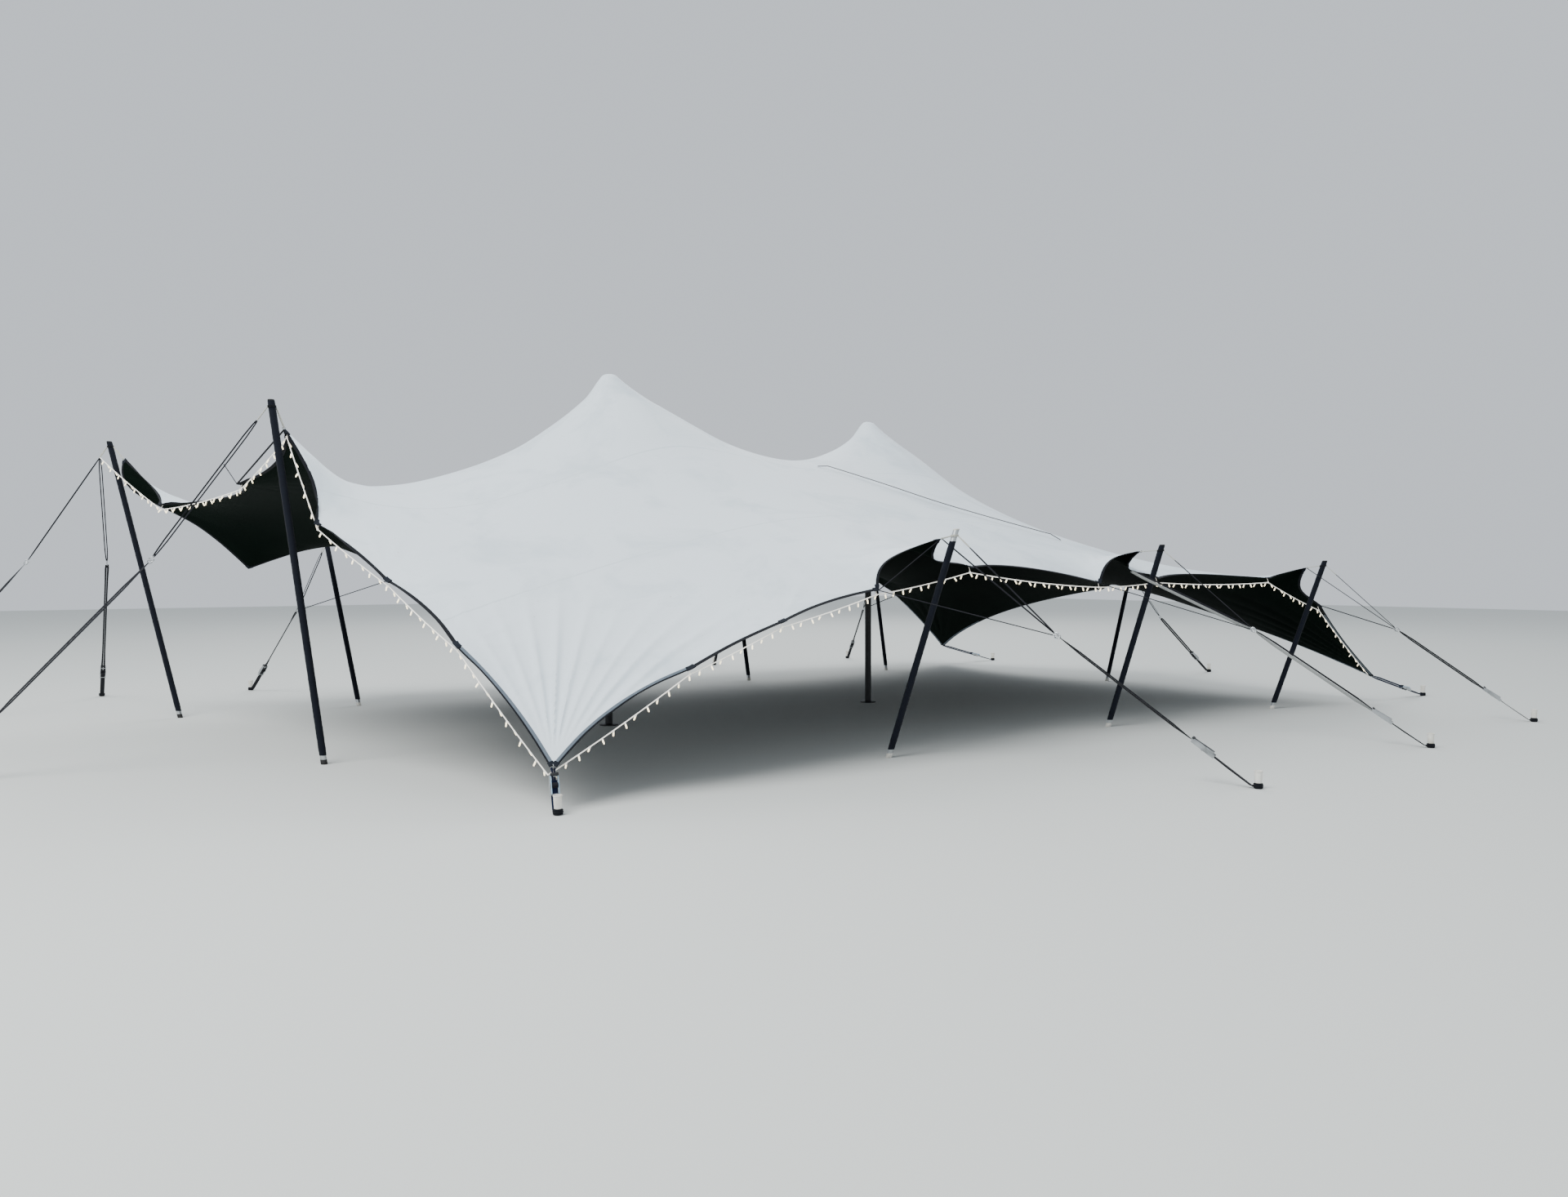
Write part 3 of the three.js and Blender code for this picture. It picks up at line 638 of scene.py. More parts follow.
def canopy_outside():
    """Matt white coat with lapped seams, water marks and faint dirt."""
    material, tree, shader = new_material(
        "white_coated_stretch_cloth", Roughness=0.62, Sheen_Weight=0.15, Sheen_Roughness=0.5,
        Specular_IOR_Level=0.35)
    spot = add_node(tree, "ShaderNodeUVMap", uv_map="metres").outputs[0]
    across = add_node(tree, "ShaderNodeSeparateXYZ", {0: spot}).outputs[1]
    strips = add_math(tree, "DIVIDE", across, PANEL_WIDTH)
    part = add_math(tree, "FRACT", add_math(tree, "ADD", strips, 0.5))
    off = add_math(tree, "ABSOLUTE", add_math(tree, "SUBTRACT", part, 0.5))
    share = SEAM_WIDTH / PANEL_WIDTH
    seam = add_range(tree, off, share * 0.7, share * 0.5)
    marks = add_noise(tree, spot, 1.6, 4.0, Roughness=0.62, Distortion=0.6)
    wet = add_range(tree, marks, 0.50, 0.66)
    dirt = add_range(tree, add_noise(tree, spot, 34.0, 2.0), 0.68, 0.80, 0.0, 0.35)
    base = add_mix(tree, wet, "#dce7ed", "#cedbe2")
    sewn = add_mix(tree, seam, base, "#d0dce2")
    dusty = add_mix(tree, dirt, sewn, "#a49f92")
    knit = add_noise(tree, spot, 1 / KNIT_GRAIN, 1.0)
    relief = add_math(tree, "MULTIPLY_ADD", seam, SEAM_RELIEF, knit)
    finish_shader(tree, shader, dusty, relief, 0.25, KNIT_DEPTH)
    return material


def canopy_inside():
    """Dark coat in near-black green, with painted shade and green bounce light, a little mottled."""
    material, tree, shader = new_material(
        "dark_coat_with_painted_shade", Roughness=0.9, Specular_IOR_Level=0.05)
    spot = add_node(tree, "ShaderNodeUVMap", uv_map="metres").outputs[0]
    # painted shade: the inside's colour is darkened and greened for the shade and green bounce light
    # under the canopy
    mottled = add_mix(tree, add_noise(tree, spot, 2.2, 3.0), "#030a07", "#0a1711")
    knit = add_noise(tree, spot, 1 / KNIT_GRAIN, 1.0)
    finish_shader(tree, shader, mottled, knit, 0.3, KNIT_DEPTH)
    return material


CLOTH_WHITE, CLOTH_DARK_WITH_PAINTED_SHADE = canopy_outside(), canopy_inside()
print(CLOTH_WHITE.name, CLOTH_DARK_WITH_PAINTED_SHADE.name)

# %% [markdown]
# Webbing is woven polyester. Its threads cross every 2 mm or so, and are drawn 3 to 4 mm apart,
# so that they show. One function makes it in each colour, with a mottled wear.

# %% Webbing, rope and sleeve cloth
FINE_WEAVE, COARSE_WEAVE = 100.0, 250 / 3


def woven(name, dark, light, weave=FINE_WEAVE, depth=0.6, roughness=0.85):
    """A plain weave of two colours: threads both ways, from a wave that repeats every 0.314 m
    at scale one, so every 3.1 mm for a fine weave and 3.8 mm for a coarse one."""
    material, tree, shader = new_material(name, Roughness=roughness, Sheen_Weight=0.04,
                                          Specular_IOR_Level=0.2)
    spot = add_node(tree, "ShaderNodeUVMap", uv_map="metres").outputs[0]
    warp, weft = (add_node(tree, "ShaderNodeTexWave", {
        "Vector": spot, "Scale": weave, "Distortion": 0.4}, bands_direction=way).outputs["Fac"]
        for way in "XY")
    both = add_math(tree, "MULTIPLY", warp, weft)
    share = add_math(tree, "MULTIPLY", both, add_noise(tree, spot, 14.0, 3.0))
    finish_shader(tree, shader, add_mix(tree, share, dark, light), both, depth, 0.0012)
    return material


HEM_BLACK = woven("black_hem_webbing", "#080a10", "#1d222d")
WEBBING_BLACK = woven("charcoal_polyester_webbing", "#0f1016", "#32343b")
WEBBING_TAUPE = woven("grey_brown_polyester_webbing", "#4c494b", "#7d797c")
WEBBING_NAVY = woven("navy_polyester_webbing", "#0c1530", "#2c3c63")
# painted light: this pale grey stands for the sunlit face of a strap, beside its shaded black side
WEBBING_PAINTED_LIT_FACE = woven("pale_grey_webbing_painted_lit_face", "#8f9291", "#c3c5c2")
BINDING_GREY = woven("grey_edge_binding", "#5a646e", "#8d98a2")
SLEEVE_CLOTH = woven("navy_black_nylon_sleeve", "#060a14", "#151e30", COARSE_WEAVE, 0.5)
PATCH_CLOTH = woven("dark_blue_patch_cloth", "#10151d", "#26303f", COARSE_WEAVE)
ROPE_WHITE = woven("white_braided_nylon", "#b9b8ae", "#eeeee6")
print("nine woven finishes")

# %% [markdown]
# The metals are plain: aluminium tube that is drawn and left bare, zinc-plated steel for the
# ratchets and hooks, and powder-coated steel for the king poles. Fine noise stretched along the
# tube gives the drawn look, and broad noise gives the dull, handled patches.

# %% Metals and plastics
def hard(name, colour, worn, metallic, roughness, grain=60.0, stretch=(1, 1, 1), relief=0.15):
    """A hard finish whose colour and gloss vary by worn patches and a fine grain."""
    material, tree, shader = new_material(name, Metallic=metallic)
    spot = add_node(tree, "ShaderNodeTexCoord").outputs["Object"]
    sized = add_node(tree, "ShaderNodeMapping", {"Vector": spot, "Scale": stretch}).outputs[0]
    fine = add_noise(tree, sized, grain, 4.0)
    worn_share = add_range(tree, add_noise(tree, spot, 9.0, 3.0), 0.45, 0.7)
    gloss = add_range(tree, fine, 0.0, 1.0, roughness - 0.1, roughness + 0.1)
    tree.links.new(gloss, shader.inputs["Roughness"])
    finish_shader(tree, shader, add_mix(tree, worn_share, colour, worn), fine, relief, 0.0006)
    return material


ALUMINIUM = hard("drawn_aluminium", "#c4c7c8", "#9da1a3", 1.0, 0.42, 90.0, (1, 1, 0.08))
ZINC_STEEL = hard("zinc_plated_steel", "#b8bbbd", "#8c8f90", 1.0, 0.38, 70.0)
BLACK_STEEL = hard("black_powder_coated_steel", "#17181a", "#26282b", 0.0, 0.5, 400.0, relief=0.3)
STAKE_STEEL = hard("weathered_stake_steel", "#6b6259", "#8a5b3c", 0.6, 0.65, 120.0, relief=0.5)
CUP_PLASTIC = hard("weathered_white_polypropylene", "#eceae2", "#cfcbbd", 0.0, 0.45, 50.0)
FOOT_RUBBER = hard("black_rubber", "#161616", "#262625", 0.0, 0.8, 150.0, relief=0.4)
FOOT_PLASTIC = hard("pale_nylon_foot", "#d5d3cb", "#b3afa3", 0.0, 0.55, 80.0)
LEVER_BLUE = hard("pale_blue_lacquered_steel", "#a9cbe0", "#86aac4", 0.0, 0.4, 70.0)
LAMP_GLOW, _, _ = new_material("warm_white_lamp_polycarbonate", Base_Color=linear("#fff6dc"),
                               Roughness=0.3, Emission_Color=linear("#ffefc8"),
                               Emission_Strength=2.4)
# painted light: the cable, its clips and the lamp sockets glow a little, standing in for the lamps'
# light on white PVC
CABLE_PAINTED_GLOW, _, _ = new_material("white_pvc_cable_painted_glow", Base_Color=linear("#f8f6ee"), Roughness=0.4,
                                Emission_Color=linear("#fff8ea"), Emission_Strength=0.5)
print("hard finishes are ready")

# %% [markdown]
# ## The canopy
# The sheet is one closed skin 3 mm thick: the white coat above, the dark coat with painted shade below
# and a narrow rim round the eave. Both skins are cut into triangles on the same diagonals, so that
# they stay parallel in the folds. Its texture places follow the cut of the cloth, in metres.

# %% Canopy mesh
CLOTH_THICKNESS, RIM_ANGLE = 0.003, math.radians(60)


def canopy():
    """The closed sheet, with the outside and inside in their own finishes."""
    wide, deep = cloth.shape[:2]
    half = normals * CLOTH_THICKNESS / 2
    vertices = np.concatenate([(cloth + half).reshape(-1, 3), (cloth - half).reshape(-1, 3)])
    number = np.arange(wide * deep).reshape(wide, deep)
    near, right, far, left = number[:-1, :-1], number[1:, :-1], number[1:, 1:], number[:-1, 1:]
    top = np.concatenate([np.stack([near, right, far], -1).reshape(-1, 3),
                          np.stack([near, far, left], -1).reshape(-1, 3)])
    low = top[:, ::-1] + wide * deep
    loop = np.concatenate([number[:-1, 0], number[-1, :-1], number[:0:-1, -1], number[0, :0:-1]])
    onward = np.roll(loop, -1)
    under, under_onward = loop + wide * deep, onward + wide * deep
    rim = np.concatenate([np.stack([under, under_onward, onward], -1),
                          np.stack([under, onward, loop], -1)])
    faces = np.concatenate([top, low, rim])
    mesh = bpy.data.meshes.new("canopy_cloth")
    mesh.from_pydata(vertices.tolist(), [], faces.tolist())
    layer = mesh.uv_layers.new(name="metres")
    layer.data.foreach_set("uv", cut.reshape(-1, 2)[faces.ravel() % (wide * deep)].ravel())
    for finish in (CLOTH_WHITE, CLOTH_DARK_WITH_PAINTED_SHADE):
        mesh.materials.append(finish)
    finish_of = np.repeat([0, 1, 0], [len(top), len(low), len(rim)])
    mesh.polygons.foreach_set("material_index", finish_of)
    mesh.shade_smooth()
    mesh.set_sharp_from_angle(angle=RIM_ANGLE)
    obj = bpy.data.objects.new("canopy_cloth", mesh)
    scene.collection.objects.link(obj)
    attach(obj, "root")
    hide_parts(*[f"canopy_panel_{k}" for k in range(1, 7)])
    return obj


canopy_cloth = canopy()
meshes = np.cross(np.diff(cloth[:, :-1], axis=0), np.diff(cloth[:-1], axis=1))
print("canopy", len(canopy_cloth.data.polygons), "faces,",
      round(float(np.linalg.norm(meshes, axis=-1).sum()), 1), "square metres")

# %% [markdown]
# ## The hem
# A band of black webbing is sewn round the eave and follows the edge of the sheet. Near the three
# pegged corners, which take the hardest pull, a grey binding folds over it and leaves a narrow
# black edge. At each rig point and each corner a patch of dark cloth wraps the hem.

# %% Hem webbing
HEM_IN, HEM_WIDTH, HEM_THICKNESS = 0.003, 0.026, 0.005
CORNER_GAP, LEAST_STEP = 0.012, 0.002
BINDING_IN, BINDING_OUT, BINDING_THICKNESS, BINDING_LENGTH = 0.008, 0.016, 0.009, 1.25
BINDING_GAP = 0.004
PATCH_REACH, PATCH_IN, PATCH_OUT, PATCH_THICKNESS = 0.034, 0.012, 0.030, 0.011


def edge_frame(line, inner):
    """The direction outward in the plane of the cloth, for each point of an edge."""
    ahead = np.gradient(line, axis=0)
    away = line - inner
    away -= ahead * (np.sum(away * ahead, 1) / np.sum(ahead * ahead, 1))[:, None]
    return away / np.linalg.norm(away, axis=1, keepdims=True)


def band(line, out, up, inside, outside, thickness):
    """A closed flat band round an edge, from inside to outside of it, with a rounded side."""
    corners = [(inside, thickness / 2), (outside - thickness / 3, thickness / 2),
               (outside, 0.0), (outside - thickness / 3, -thickness / 2), (inside, -thickness / 2)]
    count = len(corners)
    vertices = [line[k] + s * out[k] + t * up[k] for k in range(len(line)) for s, t in corners]
    far = lengths_along(line)
    faces, places = [], []
    for k in range(len(line) - 1):
        for s in range(count):
            n = (s + 1) % count
            faces.append((k * count + s, k * count + n, (k + 1) * count + n, (k + 1) * count + s))
            a, b = corners[s][0], corners[n][0]
            places.append(((far[k], a), (far[k], b), (far[k + 1], b), (far[k + 1], a)))
    for start in (0, (len(line) - 1) * count):
        faces.append(tuple(range(start, start + count)))
        places.append(tuple(corners))
    return vertices, faces, places


def strip_of(line, out, up, far, start, stop):
    """The part of an edge between two lengths along it, with its ends put exactly there."""
    between = far[(far > start + LEAST_STEP) & (far < stop - LEAST_STEP)]
    reach = np.concatenate([[start], between, [stop]])
    line, out, up = (at_length(reach, far, part) for part in (line, out, up))
    return line, out / np.linalg.norm(out, axis=1)[:, None], up / np.linalg.norm(up, axis=1)[:, None]


def hem(name, line, inner, up, table, counts, pegged):
    """The hem of one side: webbing, binding beside the pegged ends, and the patches."""
    far = lengths_along(line)
    edge = (line, edge_frame(line, inner), up, far)
    piece = Piece(f"{name}_webbing")
    whole = strip_of(*edge, CORNER_GAP, far[-1] - CORNER_GAP)
    piece.add(band(*whole, -HEM_IN, HEM_WIDTH, HEM_THICKNESS), HEM_BLACK)
    bound = [(BINDING_GAP, BINDING_LENGTH), (far[-1] - BINDING_LENGTH, far[-1] - BINDING_GAP)]
    for ends, is_pegged in zip(bound, pegged):
        if is_pegged:
            piece.add(band(*strip_of(*edge, *ends), -BINDING_IN, BINDING_OUT, BINDING_THICKNESS),
                      BINDING_GREY)
    for step, _ in table:
        middle = far[sum(counts[:step])]
        ends = max(0.0, middle - PATCH_REACH), min(far[-1], middle + PATCH_REACH)
        piece.add(band(*strip_of(*edge, *ends), -PATCH_IN, PATCH_OUT, PATCH_THICKNESS), PATCH_CLOTH)
    return piece.build("hem_webbing", name)


EAVES = {
    "front": (cloth[:, 0], cloth[:, 1], normals[:, 0], FRONT, FINE_COLUMNS),
    "back": (cloth[:, -1], cloth[:, -2], normals[:, -1], BACK, FINE_COLUMNS),
    "left": (cloth[0], cloth[1], normals[0], LEFT, FINE_ROWS),
    "right": (cloth[-1], cloth[-2], normals[-1], RIGHT, FINE_ROWS),
}
PEGGED_ENDS = {"front": (True, True), "back": (False, True), "left": (True, False),
               "right": (True, True)}
hems = [hem(f"hem_{side}", *EAVES[side], PEGGED_ENDS[side]) for side in EAVES]
print("hems", [len(obj.data.polygons) for obj in hems])

# %% [markdown]
# ## Poles
# The edge poles are aluminium tubes of 54 mm in a black nylon sleeve. The sleeve is a little
# loose, so it is gathered at its ends and wrinkled between them, and it shows a short foot below.
# On one pole it has slipped down and bares the head. On the others it reaches the cap. Each row
# of the table is a pole: its foot, its head, the tip it holds, the hem's ties and the stake.

# %% Perimeter poles
POLE_RADIUS = 0.027
BARE_FOOT, COLLAR_HEIGHT, HEAD_ABOVE = 0.075, 0.045, 0.060
SLEEVE_STEP, SLEEVE_SLACK, WRINKLE, GATHER = 0.016, 0.0016, 0.0007, 0.06
POLE_SIDES = 28
BARE_HEAD, RUBBER_FEET = "r1", ("l1", "l2")
Pole = namedtuple("Pole", "foot head tip ties stake")
POLES = {
    "r1": Pole((3315, 464), (3560, -80, 1890), (3530, 90, 1865), [(2900, 150, 1455)], (4530, -2230)),
    "r2": Pole((6456, 608), (6560, 50, 1800), (6420, 220, 1790), [(5830, 230, 1490)], (7610, -2056)),
    "r3": Pole((9262, 466), (9450, -50, 1656), (9330, 110, 1625), [(9760, 170, 1190)],
               (10386, -1852)),
    "l1": Pole((-644, 3008), (-1020, 3140, 2940), (-900, 3160, 2750), [], (-3300, 3900)),
    "l2": Pole((-1012, 7134), (-1620, 7590, 2950), (-1500, 7500, 2800), [], (-3656, 8490)),
    "b1": Pole((900, 7130), (680, 7670, 1925), (720, 7500, 1900), [(1500, 7450, 1540)], (300, 9830)),
    "s1": Pole((10560, 3800), (11100, 3800, 1560), (10960, 3800, 1500), [], (13100, 3800)),
}
for front, back in (("r1", "b2"), ("r2", "b3"), ("r3", "b4")):
    pole = POLES[front]
    POLES[back] = Pole(mirrored(pole.foot), mirrored(pole.head), mirrored(pole.tip),
                       [mirrored(tie) for tie in pole.ties], mirrored(pole.stake))
HEAD_ONLY = ("l1", "l2", "b1", "s1")
FLAP_ENDS = {"r1": FRONT[3][1], "b2": mirrored(FRONT[3][1]), "l1": LEFT[5][1]}
FLAP_TIE_SHARE = 0.38
SECOND_STAKES = {"l2": (-1396, 10170)}


def perimeter_pole(name):
    """Tube, sleeve with wrinkles, foot and end cap."""
    foot, head = place(*POLES[name].foot), place(*POLES[name].head)
    top = head[2] + HEAD_ABOVE
    sleeve_end = head[2] - COLLAR_HEIGHT if name == BARE_HEAD else top - 0.012
    piece = Piece(f"pole_{name}_tube")
    tube = [(POLE_RADIUS - 0.004, 0.012), (POLE_RADIUS - 0.001, 0.014),
            (POLE_RADIUS - 0.001, top - 0.012), (POLE_RADIUS - 0.004, top - 0.006)]
    sole = [(POLE_RADIUS - 0.004, 0), (POLE_RADIUS, 0.004), (POLE_RADIUS, 0.040),
            (POLE_RADIUS - 0.003, 0.044)]
    cap = [(POLE_RADIUS - 0.002, top - 0.014), (POLE_RADIUS, top - 0.012),
           (POLE_RADIUS, top - 0.003), (POLE_RADIUS - 0.006, top)]
    heights = np.linspace(BARE_FOOT, sleeve_end, int((sleeve_end - BARE_FOOT) / SLEEVE_STEP))
    waves = (np.sin(heights * 61 + chance.uniform(0, 6)) * np.sin(heights * 17 + chance.uniform(0, 6))
             + 0.6 * np.sin(heights * 143 + chance.uniform(0, 6)))
    slack = np.minimum(1, np.minimum(heights - BARE_FOOT, sleeve_end - heights) / GATHER)
    radii = POLE_RADIUS + 0.0012 + slack * SLEEVE_SLACK + WRINKLE * slack * waves
    sleeve = [(POLE_RADIUS - 0.001, BARE_FOOT), *zip(radii, heights), (POLE_RADIUS - 0.001, sleeve_end)]
    sole_finish = FOOT_RUBBER if name in RUBBER_FEET else FOOT_PLASTIC
    cap_finish = FOOT_PLASTIC if name == BARE_HEAD else FOOT_RUBBER
    for profile, finish in ((tube, ALUMINIUM), (sole, sole_finish), (cap, cap_finish),
                            (sleeve, SLEEVE_CLOTH)):
        piece.add(turned(profile, foot, head, POLE_SIDES, level=True), finish)
    return piece.build("pole_sleeve", f"pole_{name}")


for name in POLES:
    perimeter_pole(name)
print("perimeter poles", len(POLES))

# %% [markdown]
# The king poles stand inside, where the photograph doesn't show them. Each is a black steel tube
# in two telescopic lengths with a locking collar, on a flat round plate, and a padded head that
# narrows to the top carries the cloth.

# %% King poles
KING_RADIUS, KING_PLATE_RADIUS = 0.038, 0.095
KING_JOINT, UNDER_CLOTH, PIN_LENGTH = 0.46, 0.0075, 0.124


def king_pole(name, at):
    """A telescopic pole with its plate, collar, pin and padded head."""
    foot, peak = place(at[0], at[1]), at[2] / 1000 - UNDER_CLOTH
    head = foot + UP
    joint = KING_JOINT * peak
    piece = Piece(f"{name}_tube")
    tube = [(KING_PLATE_RADIUS - 0.003, 0), (KING_PLATE_RADIUS, 0.003), (KING_PLATE_RADIUS, 0.008),
            (KING_PLATE_RADIUS - 0.003, 0.010), (KING_RADIUS + 0.006, 0.011), (KING_RADIUS, 0.017),
            (KING_RADIUS, joint), (KING_RADIUS - 0.004, joint + 0.002),
            (KING_RADIUS - 0.004, peak - 0.150), (0.030, peak - 0.140)]
    piece.add(turned(tube, foot, head, 40), BLACK_STEEL)
    collar = [(KING_RADIUS, joint - 0.05), (KING_RADIUS + 0.006, joint - 0.046),
              (KING_RADIUS + 0.006, joint - 0.004), (KING_RADIUS - 0.002, joint + 0.001)]
    piece.add(turned(collar, foot, head, 40), ZINC_STEEL)
    pad = [(KING_RADIUS - 0.006, peak - 0.152), (KING_RADIUS + 0.006, peak - 0.146),
           (KING_RADIUS + 0.008, peak - 0.125), (KING_RADIUS + 0.004, peak - 0.105),
           (0.034, peak - 0.070), (0.022, peak - 0.035), (0.010, peak - 0.012), (0.002, peak - 0.004)]
    piece.add(turned(pad, foot, head, 32), FOOT_RUBBER)
    pin, end = foot + UP * (joint - 0.025), PIN_LENGTH / 2
    piece.add(turned([(0.001, -end), (0.006, 0.002 - end), (0.006, end - 0.002), (0.001, end)],
                     pin, pin + EAST, 12), ZINC_STEEL)
    return piece.build("king_pole", name)


for name, _, at in KINGS:
    king_pole(name, at)
print("king poles", len(KINGS))

# %% [markdown]
# ## Guys
# At each pole head thin cord is wound round the tube, white on the bare head and black on the
# sleeves. Short loops of white rope there take the tip of the canopy and the straps. Doubled
# straps run from the head and from the hem to a join, where hooks pass the pull to one wide
# strap. A ratchet shortens that strap, and its end is wound round the stake. One guy has a pale
# grey strap beside the black one: the grey is a painted highlight for the sunlit face of the strap,
# and the black is its shaded side. Under three of the flaps a strap joins the tip to the hem beside it.

# %% Parts of a guy
BAND_WIDTH, BAND_APART, STRAP_THICKNESS = 0.022, 0.026, 0.003
LEG_WIDTH, LEG_THICKNESS, LEG_SPREAD, HEM_LEG_SPREAD = 0.012, 0.004, 0.010, 0.008
FLAP_STRAP, FLAP_TIE_RADIUS = (0.018, 0.004), 0.0035
PALE_GUY, PALE_WIDTHS, PALE_TWIST = "r2", (0.017, 0.029), math.radians(75)
UPRIGHT_LOOP = "l1"
ROPE_RADIUS, ROPE_LENGTH = 0.004, 0.140
HOOK_LENGTH = 0.062
STRAP_TWIST = math.radians(40)
JOIN_FRACTION, JOIN_HEIGHT = 0.37, 0.57
TIE_HEIGHT, LANDING, STAKE_RADIUS = 0.020, 0.046, 0.015
RATCHET_FROM_STAKE, RATCHET_SHARE, RATCHET_LENGTH = 0.42, 0.6, 0.230
PLATE_ASIDE, BAR_RADIUS, SPOOL_RADIUS, SPOOL_RAISED = 0.029, 0.006, 0.010, 0.004
TIP_LEG_ASIDE, BEVEL = 0.036, 0.22
WRAPS, WRAP_SECTION = [(0.010, 0.025), (0.022, 0.027), (0.034, 0.025)], (0.020, 0.013)
KNOT_OUT, KNOT_SECTION = 0.016, (0.022, 0.012)
CORD_RADIUS, CORD_OUT, CORD_TURNS, CORD_SPREAD = 0.003, 0.0055, 3, 0.009
ROPE_OUT, TIP_RING, JOIN_RING = 0.005, (0.012, 0.003), (0.016, 0.004)


def arc(centre, radius, first, second, start, stop, count):
    """Points of an arc in the plane of two directions."""
    turns = np.linspace(start, stop, count)
    return [centre + radius * (math.cos(a) * first + math.sin(a) * second) for a in turns]


def circle(centre, radius, first, second, count):
    """Points of a full circle, each of them once."""
    return arc(centre, radius, first, second, 0, 2 * np.pi * (count - 1) / count, count)


def doubled_strap(piece, start, end, spread=LEG_SPREAD, upright=False,
                  finishes=(WEBBING_BLACK, WEBBING_BLACK), widths=(LEG_WIDTH, LEG_WIDTH)):
    """One long loop of strap: two runs, side by side or above each other, joined at both ends."""
    start, end = np.asarray(start), np.asarray(end)
    ahead = unit(end - start)
    beside = sideways(ahead)
    if upright:
        beside = np.cross(ahead, beside)
    shares = np.array([0, 0.012, 0.03, 0.06, 0.12, 0.5, 0.88, 0.94, 0.97, 0.988, 1])
    bulge = spread * np.clip(np.minimum(shares, 1 - shares) / 0.12, 0, 1) ** 0.5
    for side, finish, width in zip((-1, 1), finishes, widths):
        path = [start + (end - start) * s + side * beside * (0.002 + b) for s, b in zip(shares, bulge)]
        up = np.cross(beside, ahead) + side * 0.5 * beside
        piece.add(sweep(path, flat_section(width, LEG_THICKNESS), up), finish)


def steel_ring(piece, centre, normal, radius, wire):
    """A closed ring of round steel."""
    first = unit(np.cross(normal, UP if abs(normal[2]) < 0.9 else NORTH))
    second = np.cross(unit(normal), first)
    piece.add(sweep(circle(centre, radius, first, second, 20), round_section(wire, 8), ring=True),
              ZINC_STEEL)


def hook(piece, join, ahead):
    """A snap hook just before a join: a stem and an open bow."""
    start = join - ahead * (HOOK_LENGTH - 0.010)
    beside = sideways(ahead)
    up = np.cross(beside, ahead)
    bow = start + ahead * HOOK_LENGTH * 0.55
    path = [start, start + ahead * HOOK_LENGTH * 0.2]
    path += arc(bow, HOOK_LENGTH * 0.28, -ahead, up, 0.6, 2 * np.pi - 0.9, 16)
    piece.add(sweep(path, round_section(0.0045, 8)), ZINC_STEEL)


def leg(piece, start, join, **how):
    """A doubled strap from a point of the hem to a join, with its hook."""
    ahead = unit(join - start)
    doubled_strap(piece, start + ahead * 0.004, join - ahead * (HOOK_LENGTH - 0.020), **how)
    hook(piece, join, ahead)


def box_part(centre, ahead, up, size):
    """A block with bevelled long edges, by its length, width and height."""
    length, width, height = size
    edge = min(width, height) * BEVEL
    w, h = width / 2, height / 2
    section = np.array([(w, -h + edge), (w, h - edge), (w - edge, h), (-w + edge, h),
                        (-w, h - edge), (-w, -h + edge), (-w + edge, -h), (w - edge, -h)])
    half = ahead * length / 2
    inner = ahead * (length / 2 - edge)
    return sweep([centre - half, centre - inner, centre + inner, centre + half], section, up,
                 scale=[0.8, 1, 1, 0.8])


def ratchet(piece, centre, ahead, length, lever):
    """Side plates, spool with the wound strap, cross bars and the folded lever."""
    beside = -sideways(ahead)
    up = np.cross(ahead, beside)
    for side in (-1, 1):
        at = centre + side * beside * PLATE_ASIDE
        piece.add(box_part(at, ahead, up, (length * 0.86, 0.0035, 0.028)), ZINC_STEEL)
        wheel = at + side * beside * 0.003 + up * SPOOL_RAISED
        piece.add(turned([(0.004, -0.002), (0.021, -0.0015), (0.021, 0.0015), (0.004, 0.002)],
                         wheel, wheel + beside, 18), ZINC_STEEL)
        arm = centre + side * beside * 0.0255 + up * 0.016 - ahead * length * 0.06
        piece.add(box_part(arm, unit(ahead + 0.06 * up), up, (length * 0.80, 0.003, 0.018)), lever)
    wound = centre + up * SPOOL_RAISED
    bars = [(centre + ahead * length * share, BAR_RADIUS) for share in (-0.36, 0.36)]
    for pin, radius in bars + [(wound, SPOOL_RADIUS)]:
        piece.add(turned([(0.001, -0.033), (radius, -0.032), (radius, 0.032), (0.001, 0.033)],
                         pin, pin + beside, 14), ZINC_STEEL)
    piece.add(turned([(0.010, -0.025), (0.019, -0.0245), (0.019, 0.0245), (0.010, 0.025)],
                     wound, wound + beside, 20), WEBBING_BLACK)
    grip = centre - ahead * length * 0.43 + up * 0.019
    piece.add(box_part(grip, beside, up, (0.056, 0.022, 0.014)), BLACK_STEEL)


